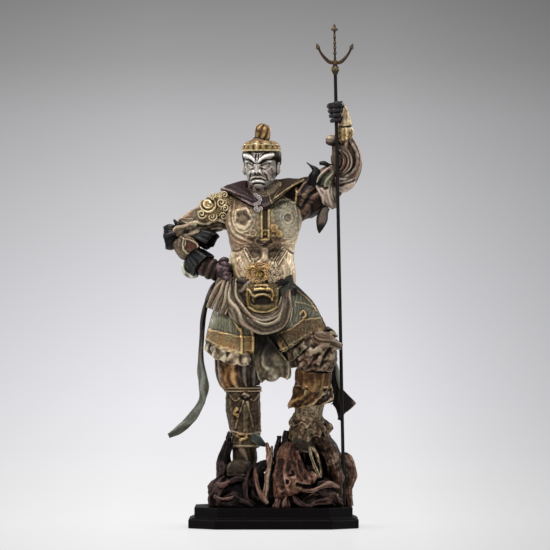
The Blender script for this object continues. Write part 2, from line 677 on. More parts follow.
# %% Breast discs and strap
def breast_ornament(shape):
    x, z, co = shape.x, shape.z, shape.skin.co
    left, right = (off_centre(x, z, centre, (1, 1.1)) for centre in BREASTS)
    rim = off_centre(x, z, BREASTS[0], (4.0, 4.7), 5, 0.5) + 0.12 * lumps(co, 3, 13)
    shape.add(0.32, bump(rim - 0.95, 0.2) * (0.7 + 0.6 * lumps(co, 3, 11)))
    shape.add(-0.6, step(0.76 - rim, 0.24), soot=0.4)
    shape.add(0.25, bump(left - 6.2, 0.45) * step(BREASTS[0][1] + 2 - z, 3), gild=0.1)
    for radius in (2.4, 3.8, 7.2, 8.2, 9.2):
        shape.add(0.15, bump(right - radius, 0.42) * (0.7 + 0.6 * lumps(co, 4, 12)))
    shape.add(-0.3, step(1.8 - right, 0.5), soot=0.3)
    shape.add(0.0, step(9.4 - right, 0.8), tone=1.0)
    slot = np.abs(x - MIDDLE)
    tall = step(7 - np.abs(z - 151.6), 0.4)
    shape.add(0.3, step(4.4 - slot, 0.8) * tall, gild=0.35)
    shape.add(0.4, bump(slot - 1.9, 0.6) * tall, gild=0.3)
    shape.add(-0.8, step(1.0 - slot, 0.4) * tall, soot=0.4)
    buckle = np.maximum(slot / 2.1, np.abs(z - 145.6) / 2.7)
    shape.add(0.9, step(1 - buckle, 0.14), gild=0.7)
    shape.add(-0.5, step(0.62 - buckle, 0.14), soot=0.3)
    shape.add(0.8, bump(np.hypot(x - MIDDLE, z - 146), 1.0), gild=0.7)
    for cx, cz, radius, gild in ((-10.3, 146.6, 1.9, 0.35), (0.4, 149, 1.9, 0.9), (2.9, 146.2, 1.6, 0.9)):
        turn = np.arctan2(z - cz, x - cx)
        petal = np.hypot(x - cx, z - cz) * (1 + 0.06 * np.cos(7 * turn + cx))
        shape.add(0.45, bump(petal - radius * 0.8, 0.7) + 0.8 * bump(petal - 0.3, 0.8), gild=gild)


# %% [markdown]
# The belly has two arched sockets like the eyes of a mask, borders that come down from the shoulders, short
# slanting straps, and tendrils above. They are laid down as lines, one after another.

# %% Borders, sockets and tendrils
def belly_ornament(shape):
    x, z = shape.x, shape.z
    slot = np.abs(x - MIDDLE)
    for cx, half in ((-9.25, 3.1), (0.75, 3.4)):
        socket = off_centre(x, z, (cx, 135.4), (half, 3.2))
        shape.add(-0.6, step(1 - socket, 0.3) * step(138.8 - z, 0.8), soot=0.45)
        shape.line([(cx - half, 137.6), (cx, 139.3), (cx + half, 137.8)], 0.6, 0.6, soot=0.95)
        shape.line([(cx - 1.6, 134), (cx + 0.4, 133.4), (cx + 1.8, 134.6)], 0.7, 0.4, gild=0.2)
    shape.add(0.6, step(1.5 - slot, 0.8) * step(3 - np.abs(z - 136.2), 1.2))
    shape.lines([
        ([(-20.7, 165.6), (-21.6, 160), (-22.2, 153.6), (-20.6, 148), (-16.8, 144.6), (-11, 142)], 0.8, 0.5,
        0.2),
        ([(-19.2, 164), (-19.8, 158), (-20.2, 153.4), (-18.6, 149), (-15.5, 146.4), (-12, 145.4)], 0.6,
        0.35, 0.15), ([(-23, 158), (-23.6, 152), (-22, 146.2), (-18, 142.4), (-12, 139.6)], 0.6, 0.25, 0.1),
        ([(11, 168.4), (11.9, 162.3), (13.4, 155.6), (13, 149)], 0.6, 0.45, 0.3),
        ([(9.6, 166), (10.4, 161), (11.8, 155)], 0.5, 0.35, 0.2),
        ([(0.8, 161), (3.4, 162.8), (6.6, 163.2), (9.8, 161.4)], 0.7, 0.55, 0.1),
        ([(12, 147), (9, 143.4), (4.4, 141.6)], 0.7, 0.35, 0.1),
        ([(-7.6, 142.3), (-4.7, 140.4), (-1.4, 142.3)], 1.3, -0.6, 0.65),
        ([(-23, 139.4), (-19, 137.6), (-15.4, 138.8)], 0.7, -0.5, 0.35),
        ([(-18.2, 134), (-18.9, 128.6), (-15.4, 122.6), (-11, 120.6)], 0.7, 0.5, 0.5),
        ([(4.6, 130.2), (5.4, 125.6), (4, 121.6), (0, 119.4)], 0.7, 0.6, 0.2),
        ([(8, 139), (6.8, 133), (8.8, 127), (7.8, 121)], 0.5, 0.3, 0.1),
        ([(12.6, 138), (10, 136.4), (6.6, 138.4)], 0.7, -0.5, 0.35)])
    for a, b, gaps in (((-13.9, 138.2), (-10.4, 132), (0.7,)), ((-17.4, 133.4), (-13.9, 128), (0.6,)),
            ((5.2, 138.2), (1.2, 131.6), (0.4, 1.5)), ((-1.6, 131.2), (2.4, 126.6), (0.6,))):
        band = near_line(x, z, [a, ((a[0] + b[0]) / 2, (a[1] + b[1]) / 2), b])
        shape.add(0.5, sum(bump(band - gap, 0.42) for gap in gaps), gild=0.15)
    tendrils = scrolls(x, z, 3.6, 0.25) * step(13 - slot, 3) * step(z - 156, 1)
    shape.add(0.25, tendrils, gild=0.12)
    shape.mark(tone=0.6 * step(z - 146, 4) * step(9 - slot, 5) * shape.facing)


# %% [markdown]
# The back can't be seen. It gets what a plain back plate would have: a round medallion, two belts and some
# scrollwork.

# %% The back plate, and the whole cuirass
def back_ornament(rear):
    from_medallion = off_centre(rear.x, rear.z, (-5, 151), (1, 1.1))
    for radius in (5.4, 7, 11):
        rear.add(0.4, bump(from_medallion - radius, 0.6), gild=0.8)
    rear.add(0.5, bump(np.abs(rear.z - 138), 0.7) + bump(np.abs(rear.z - 126), 0.7), gild=0.8)
    rear.add(0.3, scrolls(rear.x, rear.z, 5.6) * step(from_medallion - 7.6, 1), gild=0.6)


def cuirass():
    body = cuirass_body()
    shape = Ornament(body)
    breast_ornament(shape)
    belly_ornament(shape)
    shape.push()
    rear = Ornament(body, towards=-FRONT)
    back_ornament(rear)
    rear.push()
    return body.lift(0.07 * lumps(body.co, 1.6, 3))


piece("cuirass", [cuirass()], armour_paint)

# %% [markdown]
# A gilt beast's face closes the belt. Its mane is a ring of spiral curls, which repeat, so a small Geometry
# Nodes tree makes one curl as a coiled tube and sets it round an oval, each a little different.

# %% A tree that sets curls round an oval
def new_tree(name, inputs):
    """A geometry node tree with named inputs, and its input node."""
    tree = bpy.data.node_groups.new(name, "GeometryNodeTree")
    tree.interface.new_socket("Geometry", in_out="INPUT", socket_type="NodeSocketGeometry")
    for label, kind, value in inputs:
        socket = tree.interface.new_socket(label, in_out="INPUT", socket_type=kind)
        if value is not None:
            socket.default_value = value
    tree.interface.new_socket("Geometry", in_out="OUTPUT", socket_type="NodeSocketGeometry")
    return tree, tree.nodes.new("NodeGroupInput")


def finish_tree(tree, geometry, entry):
    """Ends a tree: instances made real, material set."""
    real = node(tree, "GeometryNodeRealizeInstances", _0=geometry)
    painted = node(tree, "GeometryNodeSetMaterial", Geometry=real.outputs[0],
        Material=entry.outputs["Material"])
    smooth = node(tree, "GeometryNodeSetShadeSmooth", _0=painted.outputs[0])
    node(tree, "NodeGroupOutput", _0=smooth.outputs[0])


def grown_mesh(name, source, tree, values):
    """The plain mesh object that a tree makes of a source object, which is then removed."""
    modifier = source.modifiers.new("grow", "NODES")
    modifier.node_group = tree
    keys = {item.name: item.identifier for item in tree.interface.items_tree if item.in_out == "INPUT"}
    for label, value in values.items():
        modifier[keys[label]] = value
    evaluated = source.evaluated_get(bpy.context.evaluated_depsgraph_get())
    mesh = bpy.data.meshes.new_from_object(evaluated)
    source.modifiers.remove(modifier)
    turned = np.empty(len(mesh.vertices) * 3, np.float32)
    mesh.vertices.foreach_get("normal", turned)
    worn = np.clip(0.5 + 0.45 * turned.reshape(-1, 3) @ FRONT, 0, 1)
    mesh.attributes.new("worn", "FLOAT", "POINT").data.foreach_set("value", worn.astype(np.float32))
    bpy.data.objects.remove(source)
    return placed(name, mesh)


def curve_object(points):
    """A poly curve through drawn points, as a thing for a tree to work on."""
    data = bpy.data.curves.new("guide", "CURVE")
    data.dimensions = "3D"
    spline = data.splines.new("POLY")
    spline.points.add(len(points) - 1)
    for made, at in zip(spline.points, to_frame(points)):
        made.co = (*at, 1)
    return placed("guide", data)


# %% [markdown]
# One curl is a spiral, given thickness by a small circle swept along it. The tree sets such curls at even
# places on a guide curve, each turned and scaled at random from a seed, as a carver's curls differ.

# %% The tree of curls
def curl_tree():
    tree, entry = new_tree("ring_of_curls", [
        ("Curl Radius", "NodeSocketFloat", 1.3 * MM), ("Thickness", "NodeSocketFloat", 0.4 * MM),
        ("Count", "NodeSocketInt", 14), ("Seed", "NodeSocketInt", 3),
        ("Material", "NodeSocketMaterial", None)])
    spots = node(tree, "GeometryNodeCurveToPoints", {"mode": "COUNT"}, Curve=entry.outputs["Geometry"],
        Count=entry.outputs["Count"])
    coil = node(tree, "GeometryNodeCurveSpiral", Resolution=14, Rotations=1.6,
        Start_Radius=entry.outputs["Curl Radius"], End_Radius=0.12 * MM, Height=0.7 * MM)
    profile = node(tree, "GeometryNodeCurvePrimitiveCircle", Resolution=6,
        Radius=entry.outputs["Thickness"])
    tube = node(tree, "GeometryNodeCurveToMesh", Curve=coil.outputs[0], Profile_Curve=profile.outputs[0],
        Fill_Caps=True)
    size = node(tree, "FunctionNodeRandomValue", {"data_type": "FLOAT"}, _2=0.8, _3=1.15,
        Seed=entry.outputs["Seed"])
    spin = node(tree, "FunctionNodeRandomValue", {"data_type": "FLOAT"}, _2=0.0, _3=6.28,
        Seed=entry.outputs["Seed"])
    facing = node(tree, "ShaderNodeCombineXYZ", X=math.radians(90), Y=spin.outputs[1], Z=0.0)
    curls = node(tree, "GeometryNodeInstanceOnPoints", Points=spots.outputs["Points"],
        Instance=tube.outputs[0], Rotation=facing.outputs[0], Scale=size.outputs[1])
    finish_tree(tree, curls.outputs[0], entry)
    return tree


def curls_along(name, path, count, radius, thickness, seed, material):
    """Curls along a path as one object."""
    guide = curve_object(smooth_run(path, np.linspace(0, 1, 80)))
    made = grown_mesh(name, guide, curl_tree(), {"Curl Radius": radius * MM, "Thickness": thickness * MM,
        "Count": count, "Seed": seed, "Material": material})
    ready(made, material, "figure")


# %% [markdown]
# The beast's face is a shallow dome with brows, eyes, nostrils, snout and teeth, made as lines and spots
# mirrored about its middle. It is gilt wherever no dirt lies.

# %% The belt beast
# Gold leaf paint over brown, the brightest metal on the figure.
belly_gold = paint("belt_beast_gold_leaf_paint", "#1e0f06 #6a4520 #b4854a #fbe6b8", metal=0.5,
    rough=(0.6, 0.32))


def beast_face():
    """Domed face with brows, eyes, snout and jaw."""
    x0, y0, z0 = MIDDLE - 3.4, -15.6, 126.8
    face = sweep([
        [x0, y0 + 3, z0, 6.6, 5], [x0, y0 + 0.6, z0, 6.2, 4.8], [x0, y0 - 1.2, z0, 4.6, 3.6],
        [x0, y0 - 2.2, z0, 1.4, 1.1]], front=UP, grain=0.28)
    shape = Ornament(face, spread=0.5)
    x, z = (shape.x - x0) / 1.1, (shape.z - z0) / 1.1
    for side in (-1, 1):
        shape.add(1.3, bump(near_line(x * side, z, [(0.5, 1.2), (2.2, 2.4), (4.4, 1.8)]), 0.8), gild=1)
        shape.add(-0.7, bump(np.hypot(x * side - 2.3, z - 0.7), 1.1), soot=0.7)
        shape.add(0.9, bump(np.hypot(x * side - 2.3, z - 0.7), 0.7), gild=1)
        shape.add(0.8, bump(np.hypot(x * side - 1.1, z + 1.5), 0.9), gild=1)
        shape.add(0.7, bump(near_line(x * side, z, [(0.4, -2.2), (2.4, -2.4), (4, -1.2)]), 0.6), gild=1)
    shape.add(1.4, bump(np.hypot(x, z + 0.9), 1.4), gild=1)
    shape.add(-1.0, bump(np.hypot(x / 2, z + 3.0), 0.7), soot=1.0)
    shape.add(0.6, bump(np.hypot(x, z - 2.8), 0.9), gild=1)
    face = shape.push()
    face.gild[:] = 1 - face.soot
    return face


def oval_path(centre, half, lean, turns=1.0):
    """A path round an oval that leans back at its sides, spiralling inwards for more turns than one."""
    turn = np.linspace(0, 2 * np.pi * turns, 60)
    shrink = 1 - 0.42 * turn / (2 * np.pi)
    return np.stack([centre[0] + half[0] * shrink * np.cos(turn), centre[1] + lean * np.abs(np.cos(turn))
        * shrink**2, centre[2] + half[1] * shrink * np.sin(turn)], -1)


piece("belt_beast", [beast_face()], belly_gold)
curls_along("belt_beast_mane", oval_path((MIDDLE - 3.4, -17.6, 126.2), (7.2, 5.4), 2.2, 2.3), 30, 1.2, 0.34,
    3, belly_gold)
curls_along("belt_scrolls", oval_path((MIDDLE + 4.2, -17, 125), (4.2, 3.4), 1.2, 1.8), 13, 1.1, 0.28, 8,
    armour_paint)

# %% [markdown]
# The head is a dome with a guardian's face of ordinary proportions: the eyes half way up, the nose a
# quarter of the height, a knit brow and a closed mouth. It is modelled straight on, in mm about its own
# middle, and then turned towards the viewer's left. Its paint is a cold silver-white with a dark wash.

# %% The face
HEAD_AT = (-6.2, -3.4, 180.6)
HEAD_TURN = math.radians(-12)


def onto_head(skin):
    """Turns and moves a skin from the head's own middle to the figure."""
    c, s = math.cos(HEAD_TURN), math.sin(HEAD_TURN)
    skin.co = skin.co @ np.array([[c, s, 0], [-s, c, 0], [0, 0, 1]]) + HEAD_AT
    return skin


def face_skin():
    skull = sweep([
        [0, -1.6, -12.4, 1.6, 1.4], [0, -1.5, -11.6, 3.6, 3.6], [0, -1.2, -9.6, 5.6, 6.2],
        [0, -0.4, -5.4, 7.3, 7.9], [0, 0, 0, 8.2, 9.1], [0, 0.3, 5, 8.2, 9.2], [0, 0.6, 9, 5.6, 6.6]],
        grain=0.24, focus=0.4)
    shape = Ornament(skull, spread=0.5)
    x, z = np.abs(shape.x), shape.z
    shape.add(1.1, bump(near_line(x, z, [(0.8, 2.1), (3.2, 3.8), (7, 4.8)]), 1.6))
    shape.add(-1.3, bump(off_centre(x, z, (3.5, 0.4), (2.9, 2.0)), 1))
    shape.add(0.7, bump(off_centre(x, z, (5.2, -2.6), (3.2, 2.4)), 1))
    down = np.clip((2.4 - z) / 5.8, 0, 1)
    shape.add(1, bump(x, 1.1 + 1.1 * down) * (0.7 + 2.2 * down) * step(z + 4.2, 0.8) * step(2.6 - z, 2)
        / 2.9)
    shape.height += 1.9 * bump(x, 1.1 + 1.1 * down) * down * step(z + 4.2, 0.8) * shape.facing
    shape.add(0.5, bump(off_centre(x, z, (0, -7.2), (4.4, 2.6)), 1))
    shape.add(1.1, bump(off_centre(x, z, (0, -10.6), (2.8, 1.7)), 1))
    skull = shape.push()
    shape = Ornament(skull, spread=0.5)
    shape.x = x = np.abs(shape.x)
    z = shape.z
    eye = np.hypot(x - 3.5, (z - 0.35) * 1.2)
    shape.add(0.85, bump(eye, 1.8))
    shape.add(0.0, step(0.7 - eye, 0.2), soot=1.0)
    shape.lines([
        ([(1.1, -0.2), (3.4, 1.5), (6.2, 1.7)], 0.55, 0.7),
        ([(1.6, -0.9), (3.6, -1.2), (5.6, 0.2)], 0.45, 0.3),
        ([(1.2, 0.5), (3.4, 2.2), (6.6, 2.6)], 0.4, -0.4, 0.7),
        ([(1.6, -1.7), (3.8, -2.3), (5.8, -1.2)], 0.5, -0.35, 0.2),
        ([(0.9, 1.7), (2.4, 3.0), (4.6, 4.1), (7.2, 4.8)], 0.8, 0.5),
        ([(0.5, 1.8), (0.8, 3.4), (0.6, 5)], 0.45, -0.7, 0.8),
        ([(1.7, 3.6), (3, 5.2), (5.4, 6.2)], 0.4, -0.45, 0.6),
        ([(0, 6), (2, 6.6), (4.4, 7.4)], 0.4, -0.3, 0.5),
        ([(2.0, -3.2), (3.9, -5.0), (4.6, -8)], 0.5, -0.55, 0.25),
        ([(2.9, -3.2), (4.8, -4.8), (5.8, -7.4)], 0.9, 0.45),
        ([(0, -6.2), (1.2, -5.9), (3.4, -7.1)], 0.6, 0.5),
        ([(0, -7.1), (1.6, -7.0), (3.6, -7.9)], 0.45, -0.7, 0.8),
        ([(0, -8.2), (1.2, -8.2), (2.7, -8.5)], 0.7, 0.7),
        ([(0, -9.3), (1.6, -9.3), (3, -9.9)], 0.5, -0.45, 0.5), ([(1.9, -3.5), (2.5, -4.1)], 1.0, 0.9),
        ([(0.7, -4.4), (1.2, -4.5)], 0.5, -0.5, 1), ([(6.6, -2), (7, -4.6), (6, -7)], 0.5, -0.35, 0.4)])
    face = shape.push()
    return onto_head(face.lift(0.08 * lumps(face.co, 2.2, 4)))


# %% [markdown]
# Ears, hair, knot and diadem are made about the same middle as the face and turned with it. The hair is
# combed back in ridges and bound in a knot, and the diadem is a band of petals, taller in front.

# %% Ears, hair, knot and diadem
def ear(side):
    shell = ball((side * 8.5, 0.8, -1.2), (1.3, 2.1, 3.6), 0.3)
    y, z = shell.y - 0.8, shell.z + 1.2
    hollow = bump(np.hypot(y + 0.2, z - 0.9), 1.4)
    shell.lift(-0.6 * hollow, soot=0.6 * hollow)
    return onto_head(shell)


def hair_skins():
    cap = sweep([
        [0, 4.4, -8.6, 3.6, 2.6], [0, 3, -4, 7.6, 7.6], [0, 2.2, 2, 9, 9], [0, 1.4, 6, 9.2, 9.8],
        [0, 0.9, 10, 7.4, 8], [0, 0.9, 12, 4.4, 4.8], [0.2, 1, 12.8, 2.8, 3]])
    cap.lift(0.5 * ridge(19 * cap.angle / np.pi + 0.4 * lumps(cap.co, 6, 2)))
    lock = small([
        [6.4, -5.6, 3, 0.7, 0.8], [8.4, -3.4, 4.6, 1.3, 1.4], [9, 0, 3.4, 1.2, 1.4], [8.6, 3, 0.6, 0.8, 1]])
    return [onto_head(cap), onto_head(lock.lift(0.2 * ridge(2 * lock.angle / np.pi + 2 * lock.along)))]


def knot_skin():
    knot = small([
        [0.2, 1, 11.6, 2.6, 2.6], [0.3, 1, 12.6, 2.7, 2.7], [0.5, 1, 13.6, 3.5, 3.4],
        [0.7, 1, 16, 3.7, 3.6], [0.8, 1, 18.6, 3.5, 3.4], [0.9, 1, 20, 2.2, 2.2], [1, 1, 20.5, 0.8, 0.8]])
    knot.lift(0.7 * ridge(3.5 * knot.angle / np.pi + 1.3 * knot.along + 0.15 * lumps(knot.co, 4, 6)) - 0.4)
    knot.mark(soot=0.8 * step(lumps(knot.co, 2.6, 9) - 0.45, 0.2))
    return onto_head(knot)


def diadem_skin():
    band = sweep([
        [0, 0.6, 6.6, 8.6, 9.8], [0, 0.6, 7.2, 9.3, 10.4], [0, 0.6, 8.8, 9.1, 10.2],
        [0, 0.7, 10.6, 7.9, 8.8], [0, 0.8, 11.8, 5.4, 6], [0.1, 0.9, 12.4, 2.8, 3]], grain=0.27)
    z = band.z
    shape = 0.5 * bump(z - 7.3, 0.5) + 0.45 * bump(z - 9.7, 0.45)
    petals = bump(np.hypot(((band.angle * 9 / np.pi) % 1 - 0.5) * 2.6, (z - 8.5) * 0.9), 1)
    tall = bump(np.hypot(((band.angle * 4.5 / np.pi) % 1 - 0.5) * 2.4, (z - 10.8) * 0.7), 1)
    front = bump(off_centre(band.x, z, (0, 9.4), (1.7, 2.4)), 1) * (band.y < 0)
    return onto_head(band.lift(shape + 0.5 * petals + 0.6 * tall + 0.9 * front, gild=0.8 * petals))


# Matt silver-white over a warm dark wash: the features read by shade and not by shine.
silver_face = paint("face_silver_white_paint", "#25201d #989189 #d6d0c8 #fbfaf7", rough=(0.6, 0.35))
# Lacquer so dark that only the combed ridges show.
hair_paint = paint("hair_dark_lacquer", "#070505 #110d0b #1f1813 #463524")
# Two gold paints: an old brown one and a paler one, both brushed thin enough to show the wash.
leaf_gold = paint("ornament_gold_leaf_paint", "#170e07 #553b20 #8c6c3d #e9d3a4", metal=0.3)
piece("head", [face_skin(), ear(-1), ear(1)], silver_face)
piece("hair", hair_skins(), hair_paint)
piece("hair_knot", [knot_skin()], leaf_gold)
pale_gold = paint("ornament_pale_gold_paint", "#1d160d #6b563a #b09a6e #fbf1d6", metal=0.3)
piece("diadem", [diadem_skin()], pale_gold)

# %% [markdown]
# A shawl collar of stiff brocade stands round the neck and runs out to a point on each shoulder. It is a
# bent plate: one rule gives its middle surface for a place round the neck and a share of the way outwards,
# and the plate's two faces lie half its thickness to either side.

# %% The collar
def plate_skin(surface, across, down, thickness):
    """A bent plate as a skin. surface(u, v) gives its middle in drawn mm for u and v from 0 to 1."""
    u, v = np.meshgrid(np.linspace(0, 1, across), np.linspace(0, 1, down), indexing="ij")
    middle, nudge = surface(u, v), 1e-3
    normal = unit(np.cross(surface(u + nudge, v) - surface(u - nudge, v), surface(u, v + nudge)
        - surface(u, v - nudge)))
    half = thickness / 2 * np.clip(np.minimum(v, 1 - v) / 0.04, 0.35, 1)[..., None]
    co = np.concatenate([middle + normal * half, (middle - normal * half)[:, ::-1]], axis=1)
    angle = np.linspace(0, 2 * np.pi, 2 * down, endpoint=False)[None]
    return Skin(co, np.linspace(0, 1, across)[:, None] + 0 * angle[:, :1], angle)


def lapel(u, v):
    angle = (u - 0.5) * 2 * np.pi
    ahead = np.clip(np.cos(angle), 0, None)
    right = np.sin(angle)
    side = np.abs(right) ** 1.5
    reach = 7.6 + 4.2 * ahead**1.5 + v * (2.9 + 10.5 * side + 2.6 * ahead**4)
    inner, outer = 172.5 - 8.5 * ahead**1.5, 167.5 - 8 * ahead**4 + 3 * side + 2.4 * right
    crown = 2.4 * np.sin(np.pi * v) * (1 - 0.6 * side) * (1 - 0.7 * ahead)
    return np.stack([-5.6 + reach * right, 0.5 - reach * np.cos(angle) * (1.02 - 0.2 * side),
        inner + (outer - inner) * v + crown], -1)


def collar_skin():
    band = plate_skin(lambda u, v: lapel(0.004 + 0.992 * u, v), 330, 52, 1.4)
    band.lift(0.35 * lumps(band.co, 7, 8))
    shape = Ornament(band)
    x, z = shape.x, shape.z
    shape.tone = step(x + 2, 3)
    shape.add(0, step(4 - np.abs(x + 4), 3) * step(166 - z, 4), soot=0.4)
    shape.lines([
        ([(12.8, 175.1), (14.8, 172.6), (9.8, 169.1)], 0.4, 0.35, 0.5),
        ([(15.2, 173.3), (8.2, 169.3), (0.8, 163.8)], 0.35, 0.3, 0.35),
        ([(-0.2, 169.1), (-1.8, 165.1), (-0.8, 160.6)], 0.5, 0.45, 0.4),
        ([(3.8, 169.1), (1.2, 165.6), (-0.8, 160.6)], 0.35, 0.3, 0.3),
        ([(-25.8, 169.3), (-19.8, 167.1), (-14.2, 164.6), (-6.8, 161.1)], 0.7, 0.4),
        ([(-25.8, 168.4), (-19.8, 165.9), (-14.2, 163.4), (-5.8, 159.6)], 0.6, -0.4, 0.9),
        ([(-23.8, 171.1), (-17.8, 169.1), (-12.8, 166.1)], 0.6, 0.35),
        ([(-14.8, 169.1), (-10.8, 165.6), (-8.2, 161.1)], 0.6, 0.4)])
    shape.add(0.15, scrolls(x, z, 3.4, 0.25))
    return shape.push()


# Brocade is painted as a near-black mauve with a grey-pink brush over it, browner on the right.
collar_paint = paint("collar_mauve_brocade_paint", "#0d080a #2c1f21 #533e42 #c4adab",
    second="#0c0906 #2a2017 #473828 #96805f", metal=0.15)
# Enamel that looks wet beside the matt cloth.
jewel_paint = paint("throat_jewel_silver_enamel", "#140d10 #4c4044 #94888a #e6e0e0", metal=0.0,
    rough=(0.4, 0.2))
neck = sweep([[-5.8, 0.5, 160, 8.5, 8.5], [-5.9, 0, 168, 7.6, 8], [-6.2, -1.6, 178, 5, 5.6]], grain=0.6)
piece("collar", [collar_skin(), neck.lift(0.5 * ridge(6 * neck.angle / np.pi))], collar_paint)
throat = [
    (-8.8, -16.5, 165.1), (-6.8, -17, 163.8), (-7.2, -17.6, 161.6), (-9, -18, 160.1), (-8.2, -18.4, 157.6),
    (-6.2, -18.4, 158.6)]
curls_along("throat_jewels", throat, 8, 1.15, 0.27, 5, jewel_paint)

# %% [markdown]
# The arms are cloth and lacquered armour by turns: a gilt beast-faced guard on one shoulder, bunched
# sleeves, black flared cuffs like tulips, a striped bracer. Carved folds have round crests and sharp
# valleys and never run quite parallel, so they are ridges round the sleeve whose place wanders with smooth
# noise.

# %% Folds, ribs and inlaid lines
def pleated(skin, count, depth, drift=0.5, seed=1, twist=0.0):
    """Folds that run along a skin: how many, how deep in mm, how far they wander and turn. A broad fold
    has a narrower one beside it."""
    place = count * skin.angle / (2 * np.pi) + drift * lumps(skin.co, 12, seed) + twist * skin.along
    crest = (0.5 + 0.5 * np.cos(2 * np.pi * place)) ** 1.3
    beside = 0.5 + 0.5 * np.cos(4 * np.pi * place + 2.5 * lumps(skin.co, 9, seed + 50))
    return skin.lift(depth * (crest + 0.35 * beside - 0.6))


def ribbed(skin, count, depth, gild=0.0):
    """Rings round a skin, like cords or turned beads."""
    rib = ridge(count * skin.along)
    return skin.lift(depth * (rib - 0.6), gild=gild * rib)


def inlaid(skin, rows):
    """Lines on the front of a skin."""
    return Ornament(skin).lines(rows).push()


def rough_cast(skin, size=1.4, depth=0.08, seed=3):
    return skin.lift(depth * lumps(skin.co, size, seed))


# %% [markdown]
# The shoulder guard is a gilt beast's head seen from the side. Curls run along its brow and jaw, and a boss
# with a spiral stands for its eye.

# %% The shoulder guard
def shoulder_guard():
    guard = sweep([
        [-16, 0, 159, 6.4, 7.6], [-20, 0, 160.2, 7, 9], [-24.6, 0, 160.2, 7.2, 9.4],
        [-28, 0, 159, 6.8, 8.8], [-32, -0.5, 157.2, 6.4, 9.2], [-35.4, -0.8, 155.4, 5.2, 7.2],
        [-37.4, -0.8, 155, 3.2, 4.6]], grain=0.32)
    guard.lift(0.6 * lumps(guard.co, 6, 12))
    shape = Ornament(guard, towards=unit(np.array([-0.2, -1, 0.35])), spread=0.6)
    x, z = shape.x, shape.z
    centre = (-32.5, 160.8)
    away = np.hypot(x - centre[0], z - centre[1])
    turn = np.arctan2(z - centre[1], x - centre[0]) / (2 * np.pi)
    shape.add(0.8, bump(away, 4.6))
    shape.add(0.6, bump(away - 3.6, 0.8) + bump(away - 1.1 - 1.4 * (turn % 1), 0.6), gild=0.3)
    shape.add(-0.5, bump(away - 2.6, 0.7), soot=0.5)
    shape.add(0.3, scrolls(x, z, 3.2, 0.3) * step(away - 5, 0.6), gild=0.1)
    return rough_cast(shape.push())


piece("right_shoulder_guard", [shoulder_guard()], pale_gold)
guard_path = [
    (-29.8, -8.6, 165.1), (-26.2, -8.6, 166.1), (-23.2, -9, 164.6), (-25.8, -9.6, 162.1),
    (-26.8, -9.8, 159.1), (-23.2, -9.4, 158.6), (-24.2, -8.4, 155.1), (-28.8, -8.6, 155.1),
    (-32.8, -8, 154.6), (-35.8, -8.2, 156.1)]
curls_along("right_guard_curls", guard_path, 7, 2.2, 0.42, 8, pale_gold)


# %% [markdown]
# A lacquered cuff is a short flared tube with an open mouth. The fist is a palm, four bent fingers and a
# thumb, each a small limb, because fingers side by side catch light that one block wouldn't.

# %% Cuffs and the fist on the hip
def flared(stations, petals, depth, mouth=5.0):
    """A stiff cuff with an open mouth at its last station and a scalloped edge."""
    return pleated(sweep(stations, grain=0.4), petals, depth, drift=0.25).hollowed(0.5, mouth)


def hip_fist():
    palm = small([
        [-27.4, -8, 126.8, 3.4, 3.8], [-25.6, -9, 128, 4.4, 4.6], [-23.4, -9.6, 127.4, 4.2, 4.6],
        [-21.8, -10, 126.6, 2.6, 3]])
    fingers = [sweep([[-26.6 + 0.3 * k, -11.4, 131 - 2.3 * k, 1.1, 1],
        [-24.6 + 0.3 * k, -13, 131.2 - 2.3 * k, 1.35, 1.2], [-22.6 + 0.3 * k, -13, 130.4 - 2.3 * k, 1.2,
        1.2]], grain=0.25) for k in range(4)]
    thumb = sweep([[-27, -9.6, 131.4, 1.3, 1.2], [-24.8, -10.4, 133.2, 1.5, 1.4],
        [-22.4, -11, 132.8, 1.1, 1.1]], grain=0.25)
    return [palm, *fingers, thumb]


# The cloths are flat acrylic with a dusty brush over it. Lacquer is blacker and a little smoother, with a
# thin cold light along its edges.
cloth_paint = paint("sleeve_beige_grey_paint", "#1b150f #4f4336 #7c6e5b #cbbb9f",
    second="#100705 #3c1f18 #623a2e #a27a68")
brown_cloth = paint("sleeve_brown_paint", "#070503 #1c130f #33251e #745d4e")
black_lacquer = paint("cuffs_black_lacquer", "#030303 #0a0909 #121011 #3a3636", rough=(0.6, 0.35))
leaf_green = paint("cuff_leaf_grey_green_paint", "#151712 #4c5046 #81857a #dcdfd2")
fist_paint = paint("fist_purple_brown_paint", "#0c0809 #251b1d #3d3033 #907a80")

upper = pleated(sweep([
    [-17, 0, 156.6, 7.2, 8], [-30, 0.6, 154.4, 6.6, 7.2], [-38, 1, 151.4, 7, 7.2],
    [-43.6, 1.4, 147.4, 6.4, 6.8], [-45.4, 1, 143.4, 5.2, 5.8]]), 6, 1.1, drift=1.1, seed=21, twist=1.2)
upper.lift(0.4 * lumps(upper.co, 2.6, 22))
point_end = pleated(
    sweep([[-38, -3.6, 150.8, 3.2, 3], [-43, -3.4, 151.8, 2.2, 2.4], [-46.8, -3, 153.4, 0.4, 0.4]],
    grain=0.35), 4, 0.5)

